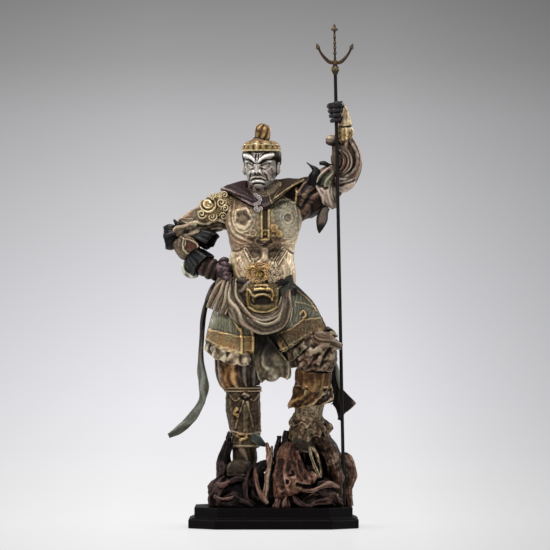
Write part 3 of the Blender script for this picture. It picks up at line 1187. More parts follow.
elbow = flared([
    [-42, 2.4, 146, 3.2, 3.4], [-46, 3, 145.4, 4.4, 4.8], [-51, 3.6, 144.6, 6.4, 7],
    [-54, 4, 144.2, 5.6, 6.4]], 5, 0.9)
inner = flared([
    [-39.6, -1, 146, 3, 4], [-35.6, -2.4, 144.8, 4.2, 4.8], [-32, -3, 143.4, 5, 5.4],
    [-30.6, -3.6, 142.4, 4.6, 5]], 5, 0.8)
horn = small([
    [-49.8, 0.2, 153.4, 0.5, 0.5], [-47.4, -1.6, 150.4, 1.5, 1.4], [-44.4, -3.4, 148.6, 1.7, 1.6],
    [-41.4, -4.4, 145, 1.2, 1.2]])
bell = flared([
    [-41.4, -2.8, 137, 3.4, 3.8], [-38.8, -3.8, 134.4, 5.4, 5.6], [-36, -5, 131.4, 6.6, 6.8],
    [-34.8, -5.6, 130.2, 6.8, 7]], 6, 0.7, mouth=3)
piece("right_cuffs", [elbow, inner, horn, bell], black_lacquer)

# %% [markdown]
# Below the elbow a knotted band closes the sleeve, a ribbed bracer covers the wrist, and a leaf of cloth
# hangs from the cuff. The knot takes the second coat of the sleeve's paint.

# %% Sleeve band, bracer and leaf
band = sweep([
    [-45.6, -0.4, 143.4, 5.2, 5.6], [-44, -1.4, 140.8, 6, 6.4], [-42, -2.4, 138.4, 6, 6.2],
    [-40.4, -3, 136.4, 5, 5.4]], grain=0.35)
ring = [
    (-44.8, 143.6), (-41.2, 142.8), (-38.2, 140.6), (-39, 137.6), (-42.8, 136.6), (-45, 139.6),
    (-44.8, 143.6)]
inlaid(pleated(band, 3, 0.5, seed=23), [
    (ring, 0.6, 0.8, 0.2), ([(-46.8, 145.1), (-43.8, 142.1), (-44.8, 138.1)], 0.5, 0.6, 0.2),
    ([(-37.8, 143.1), (-36.8, 139.6), (-38.8, 136.1)], 0.7, -0.6, 0.8)])
band.tone = bump(np.hypot(band.x + 41.5, 1.3 * (band.z - 140.1)), 3.6)
bracer = sweep([
    [-36, -5, 131.4, 4.2, 4.4], [-34, -6, 130, 4.9, 5], [-31, -7, 128.6, 5.2, 5.2],
    [-27.6, -8, 127, 4.4, 4.6]], grain=0.32)
piece("right_bracer", [ribbed(bracer, 3, 0.8, gild=0.1)], brown_cloth)
piece("right_sleeve", [rough_cast(upper), point_end, rough_cast(band, 1.6, 0.2)], cloth_paint)
leaf = inlaid(sweep([
    [-38.6, -3.6, 133.4, 1.4, 1.4], [-41.6, -2.6, 131.4, 3, 1.6], [-43.4, -2.2, 128.6, 2.9, 1.4],
    [-40.6, -3.4, 126.4, 2.6, 1.2], [-37.6, -4, 125.4, 0.8, 0.8]], grain=0.35),
    [([(-38.6, 133), (-43, 130.6), (-41, 127)], 0.5, 0.5, 0.5),
    ([(-44.2, 132.1), (-43.2, 128.6), (-40.2, 126.6)], 1.1, -0.9, 0.5)])
leaf.brushed = 0.3 * step(lumps(leaf.co, 4, 24), 0.4)
piece("right_cuff_leaf", [leaf], leaf_green)
piece("right_fist", [rough_cast(part) for part in hip_fist()], fist_paint)

# %% [markdown]
# The raised arm holds the trident. Its sleeve has slid down and bunches at the elbow, a gilt crescent edges
# the opening, and the heavy hanging part swings forward in an S with a black lining and a pointed tip.

# %% The raised sleeve
sleeve = sweep([
    [6, 0, 160, 9, 9], [14, 0.6, 163.4, 10.2, 10], [21, 2.4, 166.8, 8.8, 9], [28, 4.4, 170, 7.4, 8],
    [32, 5.4, 174, 5, 6], [33, 5.6, 177, 3, 4]])
inlaid(pleated(sleeve, 3, 0.8, drift=1.0, seed=31, twist=0.8), [
    ([(23.2, 172.1), (17.8, 168.1), (13.8, 161.1)], 1.6, 0.6),
    ([(24.8, 166.6), (19.2, 163.1), (15.2, 157.1)], 1.7, 0.6),
    ([(19.2, 174.1), (14.8, 170.6), (12.2, 166.1)], 0.9, 0.7),
    ([(11.2, 169.1), (11.4, 165.1), (10.8, 160.6)], 0.5, 0.5, 0.8),
    ([(23.8, 169.1), (18.2, 165.6), (14.2, 159.1)], 0.9, -0.5, 0.6)])
elbow = sweep([
    [33.4, 5.4, 173, 6.2, 7], [36.4, 5.4, 177, 7, 7.6], [37.2, 4.8, 182, 7.4, 7.4],
    [36, 3.2, 188.6, 6, 6.4], [34.6, 1.2, 194.4, 3.8, 5]])
pleated(elbow, 4, 0.9, drift=0.5, seed=33, twist=1.2)
elbow.mark(tone=0.7 * step(lumps(elbow.co, 9, 35), 0.6))
outer_edge = small([
    [35.8, -1, 197.1, 0.5, 0.8], [37.2, -1.2, 194.1, 0.8, 1.2], [40.2, -1.8, 189.6, 0.8, 1.4],
    [41.9, -2.6, 184.6, 0.8, 1.4], [40.8, -2.8, 179.1, 0.7, 1.2], [36.8, -3, 175.3, 0.7, 1],
    [32.2, -2.8, 174.1, 0.4, 0.5]])
inner_edge = small([
    [33.8, -4, 190.6, 0.2, 0.3], [37.1, -4.2, 187.6, 0.3, 0.5], [38.9, -4.4, 183.1, 0.45, 0.6],
    [38.1, -4.4, 179.1, 0.4, 0.6], [33.8, -4, 175.4, 0.25, 0.3]])
opening = sweep([
    [30.2, -2, 190.6, 1.4, 1.6], [32.8, -2.6, 187.1, 4.6, 2.6], [34.2, -2.4, 182.1, 5.4, 3.2],
    [33.8, -2, 177.6, 4, 2.6], [31.8, -1.6, 174.1, 1.6, 1.4]], grain=0.33)
opening.tone = 0.7 * bump(np.hypot(opening.x - 34, opening.z - 181.4), 4.5)
inlaid(opening, [
    ([(31.8, 188.6), (35.8, 186.1), (37.2, 182.6), (35.8, 178.6), (31.8, 176.1)], 0.6, 0.5),
    ([(32.8, 186.1), (34.8, 182.6), (33.2, 178.6)], 0.6, 0.45),
    ([(31.2, 187.1), (33.8, 185.1), (33.8, 180.6), (31.2, 178.1)], 0.7, -0.6, 0.5),
    ([(33.8, 187.6), (36.5, 184.1), (35.8, 179.6), (32.8, 176.1)], 0.5, -0.5, 0.5)])
roll = sweep([
    [26.2, -3, 193.1, 1.4, 1.6], [27.8, -3.2, 193.1, 2.6, 2.8], [30.2, -2.6, 193.1, 2.8, 3],
    [32.2, -1.6, 193.1, 2, 2]], grain=0.35)
roll.soot = 0.9 * step(192.1 - roll.z, 1)
roll.brushed = 0.9 * step(roll.z - 194.4, 0.8) - 0.1
cloth_right = sweep([
    [29.8, -2.6, 173.6, 2, 2], [34.8, -1, 171.6, 4.2, 4], [37.8, 0.6, 172.1, 3.4, 4],
    [39.8, 1.4, 174.6, 2, 2]])
inlaid(pleated(cloth_right, 3, 0.7, drift=0.6, seed=45, twist=0.3), [
    ([(33.2, 170.4), (36.8, 171.6), (40.8, 173.1)], 0.8, -0.8, 0.4),
    ([(33.8, 172.6), (37.2, 173.6), (40.2, 176.1)], 0.7, -0.6, 0.4)])

# %% [markdown]
# The hanging part turns over on itself: a pale outside with a long S-shaped edge, the black lining behind
# it and a dark tip below. Each is its own sweep, laid close over the next, so the edges cast small shadows.

# %% The hanging part of the sleeve
drape = sweep([
    [30.2, -2, 179.6, 1.8, 2.4], [26.2, -4.4, 175.1, 4.4, 3.4], [25.2, -4.8, 170.1, 4.8, 3.4],
    [27.8, -4, 164.6, 4.6, 3.8], [29.8, -2.4, 160.6, 2.8, 2.4], [30.2, -2, 159.1, 1.2, 1.2]], grain=0.33)
inlaid(pleated(drape, 3, 0.4, drift=0.4, seed=37, twist=0.5), [
    ([(28.8, 180.1), (24.2, 176.1), (21.6, 172.1), (22.6, 167.9), (24.6, 164.3), (24.9, 159.8)], 0.8, 0.6),
    ([(27.8, 177.1), (24.8, 174.1), (23.2, 170.6)], 1.7, -1.0),
    ([(24.2, 170.1), (25.6, 168.8), (26.8, 169.1)], 0.9, -0.8, 0.6),
    ([(28.2, 172.1), (27.2, 167.1), (28.8, 161.1)], 0.8, 0.4),
    ([(29.8, 173.1), (29.8, 167.1), (30.8, 162.1)], 0.5, -0.3, 0.3)])
drape.tone = bump(np.hypot(drape.x - 25.8, drape.z - 173.1), 4.4)
drape.brushed = 0.15 * step(170.1 - drape.z, 2)
lining = sweep([
    [16.5, -3.4, 182, 0.2, 0.25], [18.8, -4.2, 180.1, 0.7, 0.9], [20.6, -4.8, 178.4, 1.7, 1.6],
    [21.2, -5, 175.6, 3.7, 2.6], [21.1, -4.8, 171.1, 3.9, 2.6], [21.8, -4.2, 167.6, 1.8, 1.4]], grain=0.33)
spike = small([
    [30.2, -3.2, 180.1, 0.8, 0.9], [27.6, -4.4, 180.6, 0.9, 1], [25.1, -5.2, 181.5, 1.2, 1.4],
    [22.9, -5.4, 181.4, 0.8, 0.8]])
tip = small([
    [26.8, -2.6, 159.6, 1.6, 1.4], [25.1, -2.8, 157.1, 2.4, 1.8], [24.1, -3, 153.1, 2.8, 1.9],
    [23.2, -3, 149.1, 1.6, 1.2], [22.8, -3, 146.6, 0.3, 0.3]])
tip.soot = np.maximum(0.9 * step(np.abs(np.cos(tip.angle) + 0.1) - 0.62, 0.25) + 0 * tip.along,
    step(151.6 - tip.z, 1.8))
piece("left_sleeve", [rough_cast(sleeve)], brown_cloth)
# The opening is olive brown with rust where the sleeve's inside shows; the drape is paler and greener.
oval_paint = paint("sleeve_opening_olive_brown_paint", "#0f0b09 #43362d #756355 #c9b9a7",
    second="#160c08 #48291c #704a36 #b6896d")
drape_paint = paint("drape_pale_beige_paint", "#15100c #574b40 #887a6e #d3c5b9",
    second="#12120d #3e3f33 #6b6a58 #aeaa92")
piece("left_elbow", [rough_cast(elbow), opening, pleated(roll, 3, 0.3, seed=43)], oval_paint)
piece("left_elbow_edge", [rough_cast(outer_edge, 2.5, 0.3), inner_edge], drape_paint)
piece("left_drape", [rough_cast(drape), cloth_right, tip], drape_paint)
piece("left_lining", [lining, spike], black_lacquer)

# %% [markdown]
# The wrist comes out of a short pleated cuff and wears a pointed gilt guard. The four fingers are rings
# about the trident's own axis, so that the pole really passes through the hand.

# %% Wrist guard and raised fist
guard = small([
    [35.8, -1.4, 197.6, 3.6, 4], [35.8, -1.6, 200.6, 3.5, 4], [35.2, -2.4, 206.1, 2.6, 3.4],
    [34.2, -3, 210.6, 1.4, 2], [33.2, -3, 212.6, 0.4, 0.5]])
inlaid(guard, [
    ([(32.2, 200.1), (35.2, 199.6), (38.8, 200.1)], 0.6, -0.5, 1),
    ([(32.8, 202.1), (34.8, 208.1), (33.2, 212.1)], 0.5, 0.4, 0.3),
    ([(37.2, 201.6), (36.8, 207.1), (34.2, 212.1)], 0.5, 0.4, 0.3)])
guard.tone[:] = 0.85
guard.brushed += 0.2 + 0.3 * step(lumps(guard.co, 3, 48) - 0.5, 0.3)
# Old gold over brown, duller where the second coat lies.
wrist_paint = paint("wrist_guard_old_gold_paint", "#1d150b #725c38 #bba16d #fbefcf",
    second="#17110c #5d4f3d #a29079 #e6d6b8", metal=0.35)
cuff = small([
    [35.5, -0.8, 192.1, 2, 2.4], [35.2, -1, 194.1, 3.4, 4.3], [35.5, -1.2, 197.1, 4, 4.4],
    [35.5, -1.4, 199.6, 3.6, 4]])
piece("left_wrist_guard",
    [rough_cast(guard, 2.4, 0.2), rough_cast(pleated(cuff, 5, 0.5, drift=0.6, seed=47), 1.6, 0.35)],
    wrist_paint)


def staff_point(share):
    """A place on the trident's axis, from 0 at the foot to 1 in the grip."""
    foot, grip = np.array([35.05, -11, 10.5]), np.array([31.2, -6.4, 208.2])
    return foot + share * (grip - foot)


def grip_fist():
    parts = []
    for k in range(4):
        middle = staff_point(1 + 0.0124 * (0.9 - k)) - [0.4, 0, 0]
        turn = np.linspace(-0.4, 4.4, 6)
        reach, thick = 2.9 - 0.34 * k, 1.45 - 0.13 * k
        loop = [[*(middle + [reach * math.cos(a), -reach * math.sin(a), 0.5 * math.cos(a)]), thick, thick]
            for a in turn]
        parts.append(sweep(loop, front=UP, grain=0.28))
    palm = small([
        [34, -2.4, 201.6, 2, 2.4], [34.2, -2.8, 205, 2.4, 2.8], [34, -3, 209, 2.5, 2.8],
        [33.2, -3.6, 212.4, 1.2, 1.4]])
    thumb = sweep([[34.4, -7, 209.6, 1.4, 1.4], [32, -9.6, 211, 1.4, 1.4], [28.8, -8.8, 210, 1.1, 1.1]],
        grain=0.28)
    return [palm, thumb, *parts]


# Nearly black, with a violet-grey brush over the knuckles.
grip_paint = paint("raised_fist_black_paint", "#020202 #080708 #110f11 #3a373a", rough=(0.6, 0.35))
piece("left_fist", grip_fist(), grip_paint)

# %% [markdown]
# The skirt parts over the raised thigh into two stiff lobes. Each has a grey-green field with fine standing
# threads, a broad brown band between pale gold lines, and a pleated hem below it. A sash hangs over it in
# loops under a gilt flap, with a knot on each hip.

# %% A skirt lobe and its band
def lobe(stations, seed):
    skin = sweep(stations, power=2.2, grain=0.42, focus=0.3)
    return skin.lift(0.5 * lumps(skin.co, 11, seed))


def banded(skin, top, low):
    """The brown band between two smooth lines as seen from the front, with a threaded field above it."""
    shape = Ornament(skin)
    x, z = shape.x, shape.z
    order = np.argsort([p[0] for p in top]), np.argsort([p[0] for p in low])
    upper, lower = (np.interp(x, *np.array(line)[at].T) for line, at in zip((top, low), order))
    shape.add(0.35, bump(z - upper, 0.5), gild=0.6)
    shape.add(0.35, bump(z - lower, 0.6) + bump(z - lower + 1.6, 0.45), gild=0.6)
    inside = step(upper - z, 0.5) * step(z - lower, 0.5)
    shape.add(0.3, inside, tone=0.7 + 0.3 * np.clip(2 * lumps(skin.co, 7, 3), -1, 1))
    shape.add(0.15, inside * scrolls(x, z, 3.0, 0.28))
    threads = ridge(x / 1.15 + 1.2 * lumps(skin.co, 5, 5)) * step(z - upper - 0.6, 0.5)
    streaks = lumps(skin.co * [1, 0.4, 0.22], 1.6, 6)
    shape.add(1, (0.12 * threads + 0.3 * np.clip(streaks, 0, 1)) * step(z - upper - 0.6, 0.5))
    skin = shape.push()
    rear = Ornament(skin, towards=-FRONT, spread=0.6)
    over = rear.z - skin.co[-1, :, 2].mean()
    rear.add(0.3, step(7 - over, 0.5), tone=1.0)
    rear.add(0.35, bump(over - 7, 0.5) + bump(over - 1.6, 0.5), gild=0.6)
    rear.push()
    skin.not_below(np.interp(skin.x, *np.array(low)[order[1]].T) - 1.4)
    return skin


# %% [markdown]
# Both lobes are swept down and outwards from the waist. The left one lies over the raised thigh, drawn in
# to one outline. Beside the belly flap both are dark, as in a deep fold.

# %% The two lobes
# Grey-green cloth for the field, and a brown second coat for the woven band.
skirt_paint = paint("skirt_grey_green_paint", "#161612 #585748 #96947e #d6d3c0",
    second="#140c06 #5e4224 #a27b49 #e2c392")
right_lobe = lobe([
    [-8, 1, 121, 15, 13.6], [-14, 0, 108, 15.4, 15], [-18.8, -1.2, 98.4, 13.8, 14.6],
    [-20.5, -2, 89, 13.6, 14.9], [-20.4, -2, 86.4, 12.6, 13.8]], 51)
right_lobe.brushed[:] = 0.1
right_lobe.soot = 0.85 * step(right_lobe.x + 18.8, 3) * step(right_lobe.z - 105.1, 3)
right_lobe = banded(right_lobe, [
    (-32.2, 98.6), (-25.8, 97.1), (-17.2, 95.1), (-8.8, 95.1)],
    [(-32.8, 93.6), (-26.8, 90.1), (-16.8, 87.1), (-8.8, 86.1)])
inlaid(right_lobe, [
    ([(-25.8, 111.6), (-21.8, 106.6), (-16.8, 98.1)], 0.7, 0.5, 1),
    ([(-22.2, 113.1), (-16.8, 106.1), (-12.8, 99.1)], 0.5, 0.3, 0.5),
    ([(-16.2, 99.1), (-15.8, 92.6), (-15.8, 86.1)], 0.8, 0.6, 1),
    ([(-10.8, 99.1), (-10.2, 92.6), (-10.2, 86.1)], 0.8, 0.6, 1),
    ([(-8.5, 103.1), (-8.5, 94.1), (-8.8, 86.1)], 1.0, -0.8, 1)])
left_lobe = lobe([
    [-2, 1, 121, 14, 13.6], [5, -2, 111, 15.6, 14.6], [11.4, -6, 102.8, 14, 13.8],
    [15.6, -9.6, 95.4, 14, 13.6], [16.2, -10.6, 91, 14, 12.8], [16.8, -11, 88, 12.6, 12]], 53)
left_lobe.soot[:] = 0.36
side = np.interp(left_lobe.z, [95, 98, 101, 104, 107, 110, 113, 116, 119, 122],
    [29, 27, 25.6, 24.2, 22.8, 21.4, 19.4, 16.4, 13.2, 9.6])
left_lobe.x[:] -= 0.92 * np.maximum(left_lobe.x - side, 0)
left_lobe.mark(soot=0.8 * step(8.8 - left_lobe.x, 3) * step(left_lobe.z - 106.1, 3))
left_lobe.mark(soot=0.85 * step(left_lobe.z - 114.1, 3))
left_lobe = banded(left_lobe, [
    (-0.8, 95.1), (8.2, 98.6), (14.2, 103.1), (24.2, 104.6)], [(1.2, 87.1), (7.2, 90.1), (15.8, 95.6),
    (27.2, 100.1)])
left_lobe.brushed = -0.2 * left_lobe.tone
inlaid(left_lobe, [
    ([(-0.2, 96.1), (2.8, 91.6), (6.2, 87.6)], 0.9, 0.6, 1),
    ([(2.8, 96.1), (5.2, 93.1), (7.8, 89.1)], 0.5, -0.5, 0.6),
    ([(13.2, 106.1), (14.8, 107.6), (16.2, 105.6), (14.8, 104.1)], 0.7, 0.6, 1),
    ([(11.2, 112.1), (16.2, 111.1), (22.2, 108.1)], 0.5, 0.3, 0.3),
    ([(9.2, 109.1), (8.2, 103.1), (4.2, 97.1)], 0.6, 0.4, 0.4),
    ([(11.2, 120.1), (18.2, 114.6), (23.2, 108.1), (26.2, 101.1)], 1.4, -0.5, 0.9),
    ([(9.2, 119.6), (16.8, 113.6), (21.2, 107.6)], 0.5, 0.5, 0.6),
    ([(13.2, 120.6), (20.2, 114.6), (25.2, 108.1)], 0.5, 0.5, 0.6)])
piece("skirt_right_lobe", [right_lobe], skirt_paint)
piece("skirt_left_lobe", [left_lobe], skirt_paint)


# %% [markdown]
# The hem is a ruffle whose pleats grow deeper towards the open edge, which rises and falls with them. The
# robe's tail hangs behind the thighs with the same pleats, open underneath.

# %% Hems and the robe's tail
def hem(stations, top, low, count, depth, seed):
    """A pleated ruffle between two lines as seen from the front, with deeper pleats at the open edge."""
    skin = sweep(stations, power=2.2, grain=0.4, focus=0.3)
    upper, lower = (np.interp(skin.x, *np.array(line).T) for line in (top, low))
    skin.z[:] = upper + (lower - upper) * skin.along
    place = count * skin.angle / (2 * np.pi) + 0.6 * lumps(skin.co, 5, seed)
    skin.lift(depth * (0.4 + 0.6 * skin.along) * (ridge(place) - 0.5))
    skin.lift(0.5 * lumps(skin.co, 2.6, seed + 7))
    skin.z[:] -= 0.8 * ridge(place + 0.5) * step(skin.along - 0.7, 0.4)
    return skin.hollowed(0.6, 3, rings=4)


# Olive brown acrylic with a cream brush on the crests of the pleats.
hem_paint = paint("hem_olive_brown_paint", "#100b08 #544737 #8f8067 #dfd4be")
right_hem = hem([
    [-20.3, -2, 89.6, 12.6, 13.8], [-20.4, -2, 86, 13, 14.2], [-20.3, -2.1, 82, 13.6, 14.8]],
    [(-33.8, 95.1), (-26.8, 90.6), (-16.8, 87.6), (-6.8, 86.6)],
    [(-33.8, 88.6), (-29.2, 84.6), (-20.8, 81.6), (-11.8, 81.1), (-5.8, 82.1)], 15, 1.2, 55)
left_hem = hem([
    [16.6, -10, 95.2, 11.8, 12.2], [18.4, -11.4, 92, 12.4, 12.6], [20, -12.4, 89, 13.2, 13.2]],
    [(3.2, 87.1), (7.2, 89.6), (15.8, 95.6), (27.2, 100.1)], [(4.2, 82.1), (10.2, 84.1), (16.2, 89.1),
    (22.2, 93.1), (28.2, 95.6)], 14, 1.2, 57)
knee = pleated(sweep([
    [19.8, -24, 95.6, 1.6, 2], [23.8, -23, 93.6, 3.4, 3], [28.2, -19, 92.1, 3.6, 4],
    [32.1, -14, 90.6, 1.6, 3]]), 4, 0.7, drift=1.2, seed=58)
knee.mark(tone=0.3, soot=0.3)
left_hem.mark(soot=0.42)
right_hem.brushed[:] = 0.2
piece("skirt_hems", [right_hem, left_hem], hem_paint)
back = pleated(sweep([
    [-5, 8, 116, 15, 6], [-4, 10, 100, 17, 6.4], [-2, 11, 86, 17.4, 5.6], [-1, 11.6, 78, 16, 4]]), 11, 1.5,
    drift=0.5, seed=59)
back.mark(soot=0.3)
piece("robe_tail", [back.hollowed(1.2, 3, rings=4)], hem_paint)

# %% [markdown]
# The sash is two ropes of cloth that hang in loops from the hips, three gathers and a crumpled waist. Each
# is a pleated limb whose folds twist along it, as wound cloth does.

# %% Sash, knot and cord
def sash_loop(rows, seed):
    return rough_cast(pleated(sweep(rows, grain=0.38), 3, 0.8, drift=0.5, seed=seed, twist=0.9))


# Taupe cloth: dark folds, and a brush of beige on the crests.
sash_paint = paint("sash_taupe_paint", "#130e0a #362c24 #5e5143 #b0a18c")
outer = sash_loop([
    [-22.8, -7, 126.1, 2.2, 2], [-21.2, -13, 115.1, 2.8, 2.2], [-17.2, -18.4, 105.1, 3.1, 2.4],
    [-5.8, -21, 99.1, 3.1, 2.4], [3.2, -20.4, 102.1, 2.9, 2.4], [6.8, -17, 111.1, 2.4, 2.2],
    [6.2, -12, 120.1, 1.8, 1.8]], 61)
inner = sash_loop([
    [-19.2, -11, 123.1, 1.4, 1.4], [-17.8, -15, 114.1, 1.8, 1.6], [-13.2, -18.6, 107.1, 2, 1.8],
    [-5.8, -20, 103.6, 2, 1.8], [1.2, -19.4, 106.1, 2, 1.8], [4.8, -16, 113.1, 1.5, 1.5],
    [4.8, -13, 119.1, 1, 1]], 63)
gather = [sash_loop([[-24.7 + 0.8 * k, -10, 125, 1.6, 1.8], [-28.2 + 2.5 * k, -12 - k, 118 - 1.5 * k,
    2 - 0.2 * k, 1.8], [-31.7 + 3.5 * k, -12.4 - 1.6 * k, 109 - 1.5 * k, 1.4, 1.2]], 65 + k)
    for k in range(3)]
waist = pleated(sweep([
    [-7.6, -1, 125, 15, 14.4], [-7.4, -1, 121.6, 16, 15.6], [-6.2, -1, 117.4, 17.4, 15.2],
    [-5.6, -1, 115, 16, 13.6]], power=2.3), 9, 0.7, drift=2.2, seed=69)
for skin in (outer, inner, *gather):
    skin.brushed += 0.12 * step(-15.8 - skin.x, 4)
piece("sash", [outer, inner, *gather, waist], sash_paint)
knot = small([
    [7.8, -12.6, 119.6, 1, 1.2], [9.8, -13.4, 117.6, 2.2, 2.2], [11.2, -13.6, 114.6, 2, 2],
    [13.2, -13.4, 112.1, 1, 1]])
waist_cord = small([
    [-18.2, -13, 122.6, 0.9, 0.9], [-11.8, -15.6, 121.3, 1, 1], [-5.8, -16.6, 120.6, 1, 1],
    [2.2, -15.4, 121.1, 1, 1], [7.2, -12.4, 122.1, 0.8, 0.8]])
piece("hip_knot_and_cord", [pleated(knot, 4, 0.6, seed=71), ribbed(waist_cord, 26, 0.3)], black_lacquer)


# %% [markdown]
# A gilt flap covers the belly below the belt, carved with an arched mouth, brows and scrolls. Under it an
# apron hangs to the knees, with a pleated lower edge and one slanting gilt line.

# %% Belly flap and apron
def flap_skin():
    flap = sweep([
        [-5.4, -15.6, 120.4, 7.4, 2.2], [-5.4, -17.4, 117, 7.8, 2.4], [-5.4, -18, 113, 7.8, 2.2],
        [-5.4, -18.6, 109, 7.4, 2], [-5.4, -18.4, 107, 6.8, 1.6]], power=4, grain=0.28)
    shape = Ornament(flap)
    x, z = shape.x + 5.2, shape.z
    middle = 114.1
    arch = np.hypot(x / 4.2, (z - middle + 2) / 3.4)
    shape.add(-1.0, step(1 - arch, 0.3) * step(z - middle + 3.2, 1), soot=0.75)
    shape.lines([
        ([(-8.8, 120.1), (-5.8, 120.4), (-2.8, 119.9)], 0.7, 0.6, 0.7),
        ([(-9.2, 118.3), (-5.8, 118.6), (-2.2, 118.1)], 0.7, 0.6, 0.7),
        ([(-9.8, 116.8), (-5.8, 117.1), (-1.8, 116.6)], 0.6, -0.6, 0.9),
        ([(-12.2, 118.1), (-10.2, 115.6), (-8.8, 114.9), (-5.2, 115.8), (-2.2, 114.6), (-0.8, 113.1)], 0.8,
        0.7, 0.4), ([(-3.2, 118.8), (-1.2, 118.1), (-0.2, 116.1), (-0.8, 113.1)], 0.7, 0.6, 0.4),
        ([(-12.8, 120.1), (-13, 115.6), (-12.5, 110.6)], 0.6, 0.5, 0.5),
        ([(1.8, 118.6), (1.8, 114.6), (1.2, 110.1)], 0.6, 0.4, 0.2),
        ([(-12.2, 109.6), (-8.8, 107.8), (-5.2, 107.3), (-1.8, 107.8), (1.8, 109.6)], 0.7, 0.5, 0.4),
        ([(-11.2, 114.6), (-10.8, 112.1), (-9.2, 111.1)], 0.6, -0.5, 0.8)])
    shape.add(0.25, scrolls(x, z, 2.6, 0.3) * step(z - middle + 2, 2))
    return rough_cast(shape.push())


# Old gold, thin enough that the brown wash shows through.
flap_paint = paint("belly_flap_old_gold_paint", "#120d07 #43361f #84724a #dccb9c", metal=0.3)
piece("belly_flap", [flap_skin()], flap_paint)
apron = pleated(sweep([
    [-1, -9, 108, 7, 5], [-1.6, -11, 96, 7.4, 4.6], [-0.8, -12, 84, 8.2, 4.4], [1, -11.6, 77, 8.2, 3.4],
    [1.4, -11.4, 74.6, 7, 2.6]], grain=0.4), 5, 0.9, drift=0.5, seed=73)
apron.z[:] -= 1.4 * ridge(apron.angle * 2.5 / np.pi) * step(apron.along - 0.8, 0.3)
apron.mark(soot=0.95 * step(apron.z - 85, 4))
apron.brushed += 0.12 * step(apron.x + 1, 3)
# Beige-grey cloth, nearly black high up where the flap shades it.
apron_paint = paint("apron_beige_grey_paint", "#0f0c09 #453d31 #7d7461 #cfc7b1")
inlaid(apron, [
    ([(-2.8, 95.1), (1.2, 89.6), (6.2, 83.6)], 0.6, 0.7, 0.7),
    ([(-1.2, 95.1), (2.8, 90.1), (7.2, 84.6)], 1.3, -0.8, 0.9)])
piece("apron", [rough_cast(apron.hollowed(0.5, 2, rings=3), 2.2, 0.2)], apron_paint)

# %% [markdown]
# Each leg is a run of separate things: bloused trousers gathered by a cord, a hammered shin guard with a
# beast's brow, a ragged frill of cloth over the ankle, and a soft boot with a stitched sole.

# %% Trousers
# Brown cloth with a rust-orange second coat on the outer side.
blouse_paint = paint("trousers_brown_orange_paint", "#0c0704 #3d3026 #6e5e53 #b3a699",
    second="#120904 #51351c #8f6539 #d2ad76")

right_blouse = sweep([
    [-17.4, -1.6, 92, 10, 11], [-17, -2.4, 84, 11.6, 11.8], [-16.4, -3, 76, 11.6, 11.6],
    [-15.6, -3, 71.6, 9.6, 9.8], [-15.2, -3, 69.6, 8.2, 8.8]])
pleated(right_blouse, 11, 0.9, drift=0.35, seed=81).lift(0.3 * lumps(right_blouse.co, 3, 82))
right_blouse.tone = step(-17.8 - right_blouse.x, 3) * step(right_blouse.x + 25.8, 3)
right_blouse.mark(soot=0.55 * step(right_blouse.x + 17, 3) * step(right_blouse.z - 71, 3))
left_thigh = sweep([
    [19.6, -12.6, 93, 10.4, 11.4], [21, -15, 88, 10.8, 11], [20.6, -15.4, 83, 10.4, 10.4],
    [20, -15.2, 79, 9, 9.6], [20, -15.2, 77.6, 8, 8.8]], grain=0.35)
left_thigh.lift(1.1 * lumps(left_thigh.co * [0.7, 0.5, 1], 3.4, 84) + 0.5 * lumps(left_thigh.co, 1.8, 83))
inlaid(left_thigh, [
    ([(28.2, 93.1), (24.2, 88.1), (22.2, 82.1)], 1.4, 0.6),
    ([(24.2, 91.1), (18.2, 86.1), (13.8, 81.1)], 1.3, 0.6),
    ([(30.2, 89.1), (28.2, 83.1), (24.2, 79.1)], 1.3, 0.5),
    ([(26.2, 90.1), (21.2, 85.1), (17.2, 79.6)], 0.9, -0.4, 0.4), ([(18.2, 89.1), (13.2, 84.1)], 1.2, 0.7),
    ([(30.2, 92.1), (25.8, 86.1), (23.2, 80.1)], 0.8, -0.4, 0.4)])
left_thigh.tone[:] = 0.25
left_thigh.mark(soot=0.15)
piece("trousers", [rough_cast(right_blouse), rough_cast(left_thigh), knee], blouse_paint)


# %% [markdown]
# The shin guards are hammered plates tied on with a cord. The right one shows a keel down the front and a
# beast's brow under the knee; the left one is mostly hidden.

# %% Shin guards
# Olive brown with a thin metallic brush, so that it reads as leather or iron.
greave_paint = paint("greave_olive_brown_paint", "#0b0805 #3b2f21 #6b5a44 #c5b190",
    second="#120a05 #3d2814 #6e4a28 #b69162", metal=0.2)
KEEL_X = -13.8
shin = sweep([
    [-15.2, -3, 68.4, 8.4, 9], [-15.2, -3.2, 60, 8.7, 9.4], [-14.4, -3, 52, 8.1, 8.8],
    [-13.6, -2.7, 46.4, 7.4, 8]], grain=0.33, focus=0.3)
shin.lift(0.9 * bump(shin.x - KEEL_X, 1.6) * (shin.y < -4))
inlaid(shin, [
    ([(-22.8, 67.6), (-18.8, 63.1), (-14.2, 66.6), (-10.2, 63.1), (-6.8, 67.6)], 0.6, 0.5),
    ([(-14.8, 63.1), (-16.8, 57.1), (-18.8, 49.6)], 0.6, 0.5),
    ([(-13.2, 63.1), (-11.8, 57.1), (-10.2, 50.1)], 0.6, 0.5),
    ([(-21.8, 64.1), (-20.8, 58.1), (-19.8, 49.1)], 0.8, 0.4),
    ([(-7.8, 66.1), (-7.2, 58.1), (-7.2, 49.1)], 0.8, 0.4),
    ([(-18.2, 59.1), (-19.2, 57.1), (-17.8, 55.6)], 1.0, 0.6, 1),
    ([(-18.2, 57.6), (-17.8, 57.1)], 0.5, -0.6, 0.8),
    ([(-16.2, 65.1), (-13.8, 63.6), (-11.2, 65.1)], 0.8, -0.5, 0.7),
    ([(-20.2, 48.1), (-13.8, 46.6), (-5.2, 47.6)], 0.6, 0.5, 0.3)])
